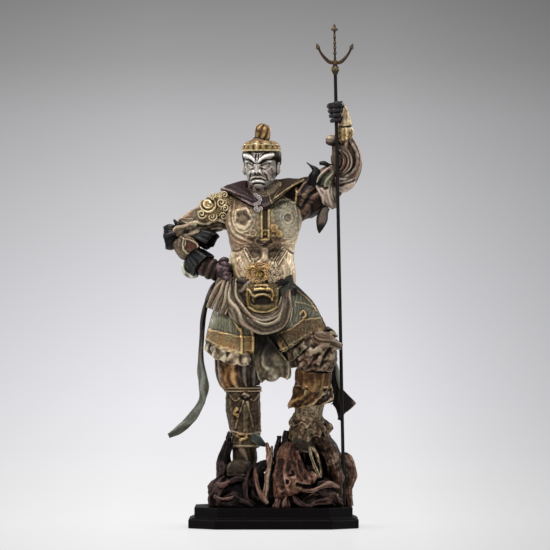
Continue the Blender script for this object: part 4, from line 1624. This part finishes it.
shin.lift(0.3 * lumps(shin.co, 2.6, 79) + 0.15 * lumps(shin.co, 1.2, 80))
shin.brushed = 0.2 * step(49 - shin.z, 3)
cords = ribbed(sweep([
    [-15.2, -3, 70.2, 8.6, 9], [-15.2, -3, 69.4, 9.2, 9.6], [-15.2, -3, 67.8, 9.2, 9.6],
    [-15.2, -3, 67, 8.4, 8.8]], grain=0.33), 3, 0.8)
left_shin = sweep([[18.1, -12.4, 63, 7.6, 8], [17.6, -11.4, 58, 7, 7.6], [17, -10.8, 53.6, 7, 7.6]],
    grain=0.35)
left_shin.lift(0.4 * lumps(left_shin.co * [1, 1, 0.5], 2.4, 87) + 0.12 * lumps(left_shin.co, 1, 88))
left_shin.brushed[:] = 0.2
piece("shin_guards", [shin, cords, rough_cast(left_shin)], greave_paint)


# %% [markdown]
# Under the left knee a pleated gilt band holds a wide cuff of brocade, open below and cut lower on one
# side. Its rust patches are the second coat, put on wherever some broad noise is high.

# %% The left leg's cuff
def flared_cuff():
    """The left leg's gilt pleated band and the wide cuff that falls from it."""
    band = sweep([
        [20, -15.2, 78.4, 8, 8.8], [19.9, -15.1, 77.2, 8.9, 9.6], [19.8, -15, 72.6, 8.9, 9.6],
        [19.6, -14.6, 71.4, 8.2, 9]], grain=0.33)
    pleated(band, 12, 0.35, drift=0.5)
    band.lift(0.3 * lumps(band.co, 3, 86))
    band.tone[:] = 1
    band.mark(soot=0.3)
    fall = sweep([
        [19.6, -14.6, 71.8, 8.2, 9], [19.2, -13.8, 67, 9.8, 9.8], [18.6, -13, 62.6, 10.9, 10.6],
        [18.5, -12.9, 61.6, 10.4, 10]], grain=0.35)
    pleated(fall, 6, 1.2, drift=0.8, seed=85, twist=1.4)
    fall.lift(0.4 * lumps(fall.co, 2, 87))
    fall.tone = step(lumps(fall.co, 6, 86) + 0.1, 0.5) * step(25 - fall.x, 2)
    fall.z[:] += 0.28 * (fall.x - 19) * step(fall.along - 0.5, 0.8)
    inlaid(fall, [
        ([(11.2, 70.8), (19.8, 70.1), (28.2, 69.9)], 0.6, 0.5, 0.3),
        ([(11.2, 69.6), (19.8, 68.8), (28.2, 68.6)], 0.6, -0.4, 0.8)])
    return [rough_cast(band), rough_cast(fall.hollowed(0.6, 3, rings=4))]


piece("left_cuff", flared_cuff(), greave_paint)


# %% [markdown]
# Torn cloth hangs over both ankles: a crumpled tube whose lower rings tall narrow noise pulls up and down,
# which leaves uneven points. A brass clasp and a ring close the right one over the boot.

# %% Ankle frills
def frill(stations, seed, dirt=0.0):
    """A ragged ankle frill: crumpled cloth whose lower edge is torn to points."""
    skin = sweep(stations, grain=0.35)
    skin.lift(0.7 * lumps(skin.co, 3, seed) + 0.25 * lumps(skin.co, 1.3, seed + 1))
    skin.z[:] += 2.4 * lumps(skin.co * [1, 1, 0.2], 1.8, seed + 2) * step(skin.along - 0.5, 0.8)
    skin.mark(soot=dirt)
    return rough_cast(skin.hollowed(0.5, 2.5, rings=4))


# Brown cloth, with a blue-grey second coat for the free point.
frill_paint = paint("ankle_frill_brown_paint", "#0b0906 #413426 #77654f #c9b596",
    second="#0e100f #2c3130 #4e5652 #8c968d")
ankle = small([
    [-13.8, -2.8, 48.4, 7.3, 7.9], [-13.7, -2.7, 46, 7.2, 7.8], [-14.2, -2.6, 42.6, 7.1, 7.6],
    [-14.4, -2.6, 40, 7, 7.6]])
inlaid(ankle, [
    ([(-17.8, 45.6), (-15.2, 46.6), (-13.8, 45.1), (-16.2, 43.6)], 1.2, 0.8, 0.8),
    ([(-16.8, 45.6), (-14.8, 45.1)], 0.6, -0.5, 0.8), ([(-20.8, 46.1), (-19.8, 42.1)], 0.7, 0.4),
    ([(-10.8, 47.1), (-9.2, 42.1)], 0.8, 0.4)])
ring = small([
    [-14.3, -2.6, 41.3, 6.6, 7.2], [-14.3, -2.6, 41.1, 7.6, 8.2], [-14.3, -2.6, 40.1, 7.6, 8.2],
    [-14.3, -2.6, 39.8, 6.6, 7.2]])
cloth_point = pleated(small([
    [-11.8, -8, 47.1, 2, 1.6], [-8.8, -8.6, 44.6, 2.4, 1.6], [-5.8, -8, 42.1, 1.5, 1.2],
    [-3.8, -7.4, 40.8, 0.4, 0.5]]), 3, 0.5)
cloth_point.tone[:] = 1
piece("ankle_frills", [rough_cast(ankle, 1.6, 0.15), rough_cast(ring), cloth_point, frill([
    [16.6, -10.4, 56.4, 6.8, 7.4], [16.6, -9.8, 54, 8.2, 9], [16.6, -9.6, 51.6, 9, 9.8],
    [16.2, -9.6, 49.4, 8.4, 9]], 89),
    frill([[16.6, -10, 53, 8, 8.4], [17.4, -9.6, 50, 10, 9.8], [18.4, -9.4, 46.6, 11.4, 10.4],
    [19, -9.4, 44.6, 10, 9.6]], 92, 0.2)], frill_paint)


# %% [markdown]
# A boot is a shank and a foot, pressed flat underneath to stand firmly. A raised welt and a dark line above
# the ground mark the stitched sole.

# %% Boots
def boot_skins(heel, toe, z, ankle):
    """A boot with a thick sole: the shank, the foot and a welt round the sole, all flattened underneath."""
    heel, toe = np.array(heel), np.array(toe)

    def spot(t):
        return heel + (toe - heel) * t

    foot = sweep([
        [*spot(-0.02), z + 4, 2.4, 3], [*spot(0.14), z + 3.8, 4.6, 4.8], [*spot(0.45), z + 3.8, 5.8, 5.2],
        [*spot(0.8), z + 3.3, 5.7, 5.2], [*spot(0.95), z + 3.2, 4.5, 4.2],
        [*spot(1.03), z + 3.2, 2.2, 2.2]], front=UP, grain=0.35)
    shank = sweep([[*ankle, z + 3, 5.4, 6.2], [ankle[0], ankle[1], z + 8, 5.6, 6.2],
        [ankle[0] + 0.4, ankle[1], z + 17, 6.6, 7.2]], grain=0.4)
    pleated(foot, 3, 0.2, drift=1.2, seed=91)
    shank.brushed += 0.25 * bump(shank.x - ankle[0] + 1, 4)
    for skin in (foot, shank):
        skin.not_below(z)
    low = np.maximum(foot.z - z, 0)
    foot.lift(0.45 * bump(low - 0.7, 0.8), soot=0.8 * bump(low - 1.9, 0.5))
    foot.not_below(z)
    return [rough_cast(foot), pleated(shank, 4, 1, drift=1, seed=93)]


# Brown-grey leather, matt.
boot_paint = paint("boot_brown_grey_paint", "#080604 #211a13 #443a2c #887a66")
piece("boots", boot_skins((-13.6, 5.6), (-18.8, -18), 25.6, (-14.4, -2.6)) + boot_skins((16.4, 0),
    (13.4, -19), 37.4, (15.8, -8.4)), boot_paint)

# %% [markdown]
# Two scarf ends hang free. The right one curls outwards above the roots; the left one follows the skirt's
# edge and spreads into an angular end with one pale fold.

# %% Scarf ends
# Black brown with a grey-olive second coat on the lower ends.
ribbon_paint = paint("scarf_black_brown_paint", "#070606 #161312 #292321 #7c6f62",
    second="#12120f #43453f #696c63 #a6a89d")
right_ribbon = sweep([
    [-26, -2, 122, 2.4, 1], [-31.6, -1, 117.6, 1.2, 2.4], [-34.6, 0, 108, 1, 2.8], [-36, 0, 94, 1.1, 3],
    [-36.2, 0, 80, 1.7, 3.2], [-34.8, -1, 71, 2.8, 2.6], [-35.6, -2, 63.4, 1.9, 2.2],
    [-40, -4, 55.6, 2.5, 1.3], [-46.4, -6, 49, 2.3, 1.2], [-52.2, -7.4, 45.6, 0.9, 0.8]])
right_ribbon.tone = step(82 - right_ribbon.z, 10)
left_edge = sweep([
    [6.4, 0, 122, 2, 1.6], [15, -2, 114.6, 1.4, 2.4], [24, -3, 101, 1.4, 2.4], [27.6, -1, 90, 1.4, 2.4],
    [29.6, 2, 79, 1.3, 2], [29.9, 3, 74, 2, 1.8], [30.7, 3.4, 69, 3, 1.6], [34.2, 3.8, 65, 6.2, 1.5],
    [35.4, 4, 62, 6.8, 1.4], [35.2, 4.2, 59, 5.2, 1.2], [34.2, 4.4, 56, 2.8, 1.1],
    [33, 4.4, 53.2, 0.7, 0.8]])
corner = np.interp(left_edge.z, [54, 57, 61.6, 68.4, 72], [34, 35.8, 41.7, 34.9, 33])
left_edge.x[:] = np.minimum(left_edge.x, corner)
left_fold = small([
    [30.7, 1, 83.6, 0.3, 0.4], [31.8, 0.8, 79.1, 0.9, 0.6], [32.4, 0.8, 75.1, 1.3, 0.7],
    [33.2, 1, 71.1, 1.1, 0.7], [33.8, 1.4, 67.6, 0.4, 0.4]])
left_fold.tone[:], left_fold.brushed[:] = 1, 0.35
piece("scarf_ends", [pleated(skin, 2, 0.6, drift=0.5, seed=95 + k, twist=0.7) for k, skin in enumerate(
    (right_ribbon, left_edge))] + [left_fold], ribbon_paint)

# %% [markdown]
# The figure stands on a heap of gnarled roots. They could be one sculpted lump, but bark runs along each
# root, so every root here is its own limb with grooves that follow it, swollen by knots. The two boots
# stand on broad flat roots. The paint is a very dark brown with a dusty pink dry brush.

# %% One root
PLINTH_LINE = DRAWN_PLINTH_TOP + 0.02  # mm, so that a flattened root doesn't share the plinth's face


def root(stations, grooves, depth, seed, pale=0.0, red=0.0, grain=GRAIN, dark=0.0, fibres=0.42):
    """A gnarled limb: how many grooves and how deep, and how pale, reddish, dark and fibrous it is."""
    limb = sweep(stations, grain=grain)
    limb.lift(1.5 * depth * lumps(limb.co, 7, seed))
    pleated(limb, grooves, depth, drift=0.8, seed=seed, twist=0.4)
    length = np.linalg.norm(np.diff(limb.co.mean(1), axis=0), axis=1).sum()
    fibre = np.stack([4 * np.cos(limb.angle) + 0 * limb.along, 4 * np.sin(limb.angle) + 0 * limb.along,
        length / 7 * limb.along + 0 * limb.angle], -1)
    limb.lift(fibres * lumps(fibre, 1.0, seed) + 0.22 * lumps(limb.co, 2.2, seed + 1))
    rough_cast(limb, 0.9, 0.1, seed)
    limb.not_below(PLINTH_LINE)
    limb.gild[:], limb.tone[:], limb.soot[:] = pale, red, dark
    return limb


# Bark is nearly black with a dusty pink brush; the second coat is the reddish mass, and gilding stands for
# the pale strands.
root_paint = paint("roots_dark_bark_paint", "#020101 #0b0807 #1a1312 #5f4a49",
    second="#070403 #33201a #7b5747 #cda593", gold="#080705 #2c251a #625138 #d2c3a6", metal=0.0,
    rough=(0.75, 0.55), grain=0.34, gloss=0.1)
print("roots stand", PLINTH_LINE, "mm up, as drawn")

# %% [markdown]
# Four broad cones make the heap under the boots, dark because they show only between the others. In front
# lies one reddish mass with knot holes, which draws the eye.

# %% The heap and the reddish mass
heaps = [root([
    [-14.4, 0, 8, 18.6, 19], [-15, -1.4, 17, 15.6, 17], [-15.6, -3.4, 24.6, 9, 13],
    [-15.6, -3.4, 25.2, 6, 11]], 7, 1.5, 101, grain=0.6, dark=0.6),
    root([[14, 3, 8, 22.6, 20], [15, 2, 20, 18.6, 17.4], [15.4, -3, 31, 12.4, 15], [15, -7, 37, 7.6, 14],
    [15, -7, 37.3, 6, 12]], 7, 1.4, 103, grain=0.62, dark=0.65),
    root([[-24.6, -6, 9, 7, 8.6], [-25.4, -8, 16, 5.6, 7.6], [-24.6, -7, 23, 3.4, 4],
    [-24.6, -7, 24, 2, 2]], 3, 1, 105),
    root([[32, 6, 9, 5.8, 9.4], [34.4, 5, 20, 5, 7.6], [34.8, 3, 29, 4, 6], [32.4, 2, 35, 2.4, 3.4]], 3, 1,
    107, pale=0.2)]
mass = root([
    [8.8, -17, 42.1, 2, 3], [7.8, -18.6, 38.1, 4.8, 4.6], [7.6, -20, 34.1, 6.4, 5],
    [8.2, -21.6, 28.6, 8, 5], [9.2, -23, 24.6, 9.8, 4.6], [10.8, -23, 21.1, 11.6, 4],
    [11.8, -22, 18.9, 9.6, 3]], 3, 0.35, 125, red=0.9, grain=0.35)
inlaid(mass, [
    ([(7.1, 24.9), (8.2, 24.1), (7.9, 22.4)], 0.7, 0.35), ([(6.8, 23.6), (6.8, 23.1)], 1, -1, 1),
    ([(8.2, 26.6), (10.2, 27.1), (9.2, 28.6)], 0.8, -0.7, 0.8),
    ([(9.8, 40.1), (9.1, 34.1), (8.2, 28.1)], 2.4, -0.3, 0.35),
    ([(3.8, 33.1), (2.8, 28.1), (3.8, 21.1)], 2, -0.4, 0.5),
    ([(13.2, 33.1), (14.2, 28.1), (18.2, 23.1)], 1.6, -0.3, 0.3),
    ([(11.8, 38.1), (14.2, 31.1), (18.2, 24.6)], 0.8, 0.35),
    ([(11.8, 22.1), (15.2, 21.1), (19.2, 20.6)], 1.1, -0.9, 1)])
piece("root_heap", heaps, root_paint, cad_node="root_base")

# %% [markdown]
# The single roots follow the picture from left to right. Each has its own row of stations, grooves, depth
# and seed, because no two are alike.

# %% The single roots
crooked = [root([
    [-25.2, -8, 20.1, 3.4, 4], [-25.2, -8, 27.1, 3, 3.4], [-24.5, -8, 34.1, 2.8, 3],
    [-22.8, -8, 41.1, 2, 2.4], [-22, -8, 46.1, 1.4, 1.6], [-21.5, -8, 47.4, 0.5, 0.6]], 2, 0.6, 111,
    dark=0.25),
    root([[-27.5, -14, 9.6, 4, 5], [-28.5, -17, 15.1, 4, 5], [-26.8, -18, 20.1, 4.2, 5],
    [-24.2, -15, 24.1, 3.4, 3]], 5, 0.9, 113, dark=0.3),
    root([[-25.8, -19, 9.1, 4, 3], [-21.2, -20, 13.1, 4.6, 3.4], [-15.2, -19.6, 11.6, 4, 3],
    [-10.8, -19, 9.1, 2.4, 2]], 5, 0.8, 115, dark=0.6),
    root([[-29.5, -21.4, 16.1, 0.6, 0.8], [-25.8, -22.6, 14.6, 0.8, 1], [-21.8, -23.4, 15.1, 0.7, 1],
    [-19.8, -22, 15.6, 0.4, 0.6]], 2, 0.35, 112, red=0.3, dark=0.2),
    root([[-28.2, -21.4, 21.8, 0.7, 0.8], [-25.2, -22.2, 21.6, 1.2, 1.3], [-21.8, -20.4, 23.6, 0.9, 1]], 3,
    0.5, 116, red=0.1),
    root([[-21.8, -19, 23.1, 0.9, 1.2], [-17.8, -18.6, 24.6, 1, 1.4], [-13.2, -17, 23.1, 1.2, 1.4],
    [-11.8, -17, 20.6, 1.4, 1.6]], 3, 0.4, 114, dark=0.6),
    root([[-23.8, -17.6, 19.1, 3, 2], [-18.8, -18, 17.6, 3.4, 2], [-13.8, -18, 16.1, 2.6, 2]], 2, 0.6, 118,
    dark=0.7),
    root([[-13.8, -20, 13.1, 1.8, 1.8], [-14.2, -19.6, 21.1, 1.2, 1.5], [-12.8, -17, 27.1, 1, 1.2],
    [-11.8, -15, 32.1, 0.6, 0.8]], 2, 0.3, 117, dark=0.3),
    root([[-9, -16, 30.1, 0.5, 0.6], [-8.8, -17, 25.6, 0.8, 0.9], [-7.8, -18, 20.6, 0.9, 1],
    [-5.2, -20, 15.1, 1, 1.1], [-2.8, -21, 12.1, 1, 1]], 2, 0.25, 119, red=0.4, dark=0.1),
    root([[-0.8, -13, 40.6, 0.6, 0.7], [-1.4, -15, 33.1, 1.2, 1.3], [-2.9, -17, 25.1, 1.3, 1.4],
    [-4.4, -20, 14.1, 1.1, 1.2]], 3, 0.3, 121, pale=0.3, red=0.5),
    root([[-3.2, -11, 42.4, 0.6, 0.7], [-2.4, -11, 37.1, 1.5, 1.6], [-1.2, -12, 31.1, 2, 2]], 2, 0.3, 122,
    red=1),
    root([[-11.8, -10, 24.1, 3, 3], [-7.8, -10.6, 28.6, 3, 3], [-4.2, -10, 30.8, 3, 2.6],
    [-0.2, -10, 30.1, 2.6, 2]], 3, 0.6, 120, dark=0.6),
    root([[1.8, -14, 23.1, 2.6, 2.6], [1.8, -12.6, 32.1, 2.2, 2.2], [2.4, -11.6, 40.1, 1.8, 1.8],
    [2.7, -11, 45.6, 0.8, 0.9]], 2, 0.5, 123, dark=0.5),
    root([[6.2, -12, 35.1, 2.6, 2.8], [6.2, -12, 42.1, 1.9, 1.8], [6.8, -11, 48.1, 0.7, 0.7]], 2, 0.5, 124,
    dark=0.4), mass,
    root([[3.2, -21, 24.1, 1.6, 1.6], [2.8, -21, 17.1, 1.4, 1.4], [1.2, -21, 10.1, 2, 1.8]], 2, 0.4, 126,
    red=0.3),
    root([[8.2, -22, 21.1, 2, 1.6], [6.2, -22.6, 15.6, 1.5, 1.4], [6.2, -22, 10.1, 2, 1.8]], 2, 0.4, 128,
    red=0.4),
    root([[12.8, -25, 19.1, 0.5, 0.8], [18.2, -26, 18.9, 0.7, 1], [22.8, -26.2, 20.6, 0.8, 1.2],
    [27.2, -24.6, 22.1, 1.1, 1.6], [31.2, -20, 20.6, 1.2, 1.8]], 3, 0.3, 130, pale=0.1, red=0.4),
    root([[21.2, -23, 20.6, 2.6, 2], [25.8, -22, 19.1, 4, 2.4], [30.2, -18, 18.1, 3, 2.6]], 4, 0.7, 132,
    dark=0.55),
    root([[15.8, -21, 11.1, 3, 2], [20.8, -21.6, 14.1, 4, 3], [26.8, -20, 14.6, 4.6, 3.4],
    [31.8, -15, 12.1, 3.4, 3.4]], 5, 0.8, 127, red=0.3, dark=0.5),
    root([[9.8, -23.4, 16.6, 0.7, 0.9], [11.8, -24, 13.6, 1.3, 1.2], [15.2, -24, 11.3, 1.2, 1.1],
    [19.8, -24, 11.1, 0.8, 0.9]], 2, 0.3, 134, pale=0.1),
    root([[17.9, -18.6, 40.8, 0.5, 0.8], [18.8, -19.4, 35.1, 0.8, 0.9], [21.1, -20.4, 29.1, 0.8, 0.9],
    [22.8, -20.6, 25.6, 0.8, 0.8], [23.4, -20.4, 30.1, 0.5, 0.7], [21.6, -19.6, 36.1, 0.6, 0.7],
    [19.2, -18.6, 40.4, 0.5, 0.7]], 2, 0.15, 129, pale=1, grain=FINE),
    root([[32, -9, 14, 2.6, 6], [31.4, -9, 27, 3.4, 6.4], [28.4, -8, 37, 4.6, 6.6],
    [23.6, -7.4, 42.6, 5.6, 7], [17, -8, 47, 6.4, 6.6], [16, -8, 50, 5.4, 5]], 2, 0.6, 131, pale=0.25,
    red=0.3, fibres=0.18),
    root([[33.2, -10, 10.1, 2.2, 3], [33.1, -9.6, 20.1, 1.9, 2.6], [31.8, -9, 31.1, 1.6, 2.4],
    [30.8, -8, 38.1, 0.9, 1.4]], 3, 0.4, 135, red=0.5, pale=0.25),
    root([[37.8, 0, 10.1, 2, 4], [37.2, 0, 18.1, 1.9, 3], [38.9, 1, 26.1, 2.6, 3],
    [37.8, 2, 32.6, 2.4, 2.6], [35.2, 3, 36.6, 1.2, 1.4]], 2, 0.4, 137, red=0.6, pale=0.25, fibres=0.2),
    root([[29.8, -15, 10.1, 1.4, 2], [30.8, -16, 15.1, 1.2, 1.6], [30.2, -17, 20.1, 0.8, 1]], 2, 0.3, 138,
    pale=0.5),
    root([[12, 19, 9, 9, 6], [14, 14, 24, 6, 6], [16, 6, 38, 4, 4]], 4, 1, 141),
    root([[-14, 16, 9, 8, 6], [-15, 12, 20, 6, 5], [-14, 9, 25, 3, 3]], 4, 1, 143)]
piece("crooked_roots", crooked, root_paint, cad_node="root_base")

# %% [markdown]
# The trident is a black rod with a gilt knob and three prongs, made along one axis from its foot on the
# plinth through the raised fist. The knob and beads are turned, so each is a short profile of radii.

# %% Trident
SHAFT_MM = 218.2
PRONG_MM = 22.6
PRONG_REACH_MM = 9.1


def on_staff(distance):
    foot, grip = staff_point(0), staff_point(1)
    return foot + (grip - foot) * distance / np.linalg.norm(grip - foot)


def turned(profile, from_distance, grain=0.25):
    """Something turned about the staff's axis: distances past a point and radii."""
    return sweep([[*on_staff(from_distance + d), r, r] for d, r in profile], grain=grain)


def prong_skins():
    knob = turned([
        (-3, 0.9), (-2.7, 1.2), (-1.8, 1.5), (-0.6, 2.1), (0.6, 1.95), (1.6, 1.1), (2.6, 1.3), (4, 0.7),
        (4.4, 0.4)], SHAFT_MM)
    beads = [(0, 0.5)]
    for k in range(5):
        at = PRONG_MM * (0.2 + 0.12 * k)
        beads += [(at, 0.6), (at + 0.6, 1.3 if k == 1 else 0.95), (at + 1.2, 0.6)]
    middle = turned(beads + [(18.4, 0.55), (19.8, 1.1), (21.4, 0.7), (22.6, 0.12)], SHAFT_MM)
    spike = sweep([[30.5, -5.4, 235.6, 0.4, 0.4], [31.7, -5.4, 236.8, 0.25, 0.25]], grain=0.2)
    sides = []
    for hand in (-1, 1):
        run = [
            (0, 0.14, 1), (0.3, 0.15, 0.95), (0.56, 0.24, 0.8), (0.78, 0.36, 0.6), (0.87, 0.44, 0.7),
            (0.92, 0.47, 1.2), (1, 0.56, 0.15)]
        sides.append(sweep([[*(on_staff(SHAFT_MM + PRONG_MM * up) + [hand * PRONG_REACH_MM * out, 0, 0]), r,
            r] for out, up, r in run], grain=0.2))
        bar = on_staff(SHAFT_MM + PRONG_MM * 0.87)
        sides.append(sweep([
            [*(bar + [hand * out, 0, 0]), r, r] for out, r in ((0, 0.4), (0.7, 0.4), (1.1, 0.85),
            (1.8, 0.12))], grain=0.2))
    return [knob, middle, spike, *sides]


# A matt black rod, and old gold that is darker than the armour's.
pole_paint = paint("staff_black_lacquer", "#020202 #070707 #0e0d0e #262423", rough=(0.7, 0.55), metal=0.0,
    gloss=0.06)
prong_paint = paint("trident_old_gold_paint", "#0b0805 #2b2016 #574431 #ab9777", metal=0.45,
    rough=(0.55, 0.35))
pole = turned([(0.05, 0.85), (SHAFT_MM / 2, 0.85), (SHAFT_MM - 2, 0.85)], 0, grain=0.42)
piece("trident_pole", [pole], pole_paint, cad_node="trident")
piece("trident_head", prong_skins(), prong_paint, cad_node="trident")


# %% [markdown]
# The plinth keeps its plain shape, an oblong in two tiers with its corners cut off. Its edges are softened
# by a fraction of a millimetre, as cast resin has them, and catch a thin line of light.

# %% Plinth
CUT_MM = 13.5  # what is cut off each corner
SOFT_CORNER_MM = 0.35


def plinth_skin():
    """Rings of corners at insets and heights in mm."""
    half = (plinth_high - plinth_low) / MM / 2
    rings = []
    for inset, z in ((0.5, 0), (0.12, 0.1), (0, 0.4), (0, 4.05), (0.12, 4.32), (0.5, 4.6), (2.6, 5.44),
            (2.9, 5.62), (3, 5.9), (3, 10.1), (3.1, 10.38), (3.4, 10.5)):
        w, d = half.x - inset, half.y - inset
        c = CUT_MM - inset * (2 - math.sqrt(2))
        corners = [
            (w, c - d), (w, d - c), (w - c, d), (c - w, d), (-w, d - c), (-w, c - d), (c - w, -d),
            (w - c, -d)]
        ring = []
        for k, (x, y) in enumerate(corners):
            for other in (corners[k - 1], corners[(k + 1) % len(corners)]):
                reach = SOFT_CORNER_MM / math.hypot(other[0] - x, other[1] - y)
                ring.append((x + (other[0] - x) * reach, y + (other[1] - y) * reach, z))
        rings.append(ring)
    return np.array(rings)


def plinth_paint():
    """Black lacquer with hardly any gloss, a little uneven so that it isn't a flat patch."""
    made, tree, surface = new_material("plinth_black_lacquer")
    spot = node(tree, "ShaderNodeTexCoord").outputs["Object"]
    cloud = node(tree, "ShaderNodeTexNoise", Vector=spot, Scale=1 / (6 * MM), Detail=3.0)
    shade = node(tree, RAMP, stops=[(0.3, "#060404"), (0.7, "#0a0707")], Fac=cloud)
    tree.links.new(shade.outputs["Color"], surface.inputs["Base Color"])
    surface.inputs["Roughness"].default_value = 0.4
    surface.inputs["Specular IOR Level"].default_value = 0.07
    return made


rings = plinth_skin()
around, caps = closed_faces(*rings.shape[:2], 0)
ends = [rings[0].mean(0), rings[-1].mean(0)]
plinth = raw_mesh("plinth_dressed", np.concatenate([rings.reshape(-1, 3), ends]) * MM, [around, caps], {})
plinth.data.shade_flat()
ready(plinth, plinth_paint(), "plinth")
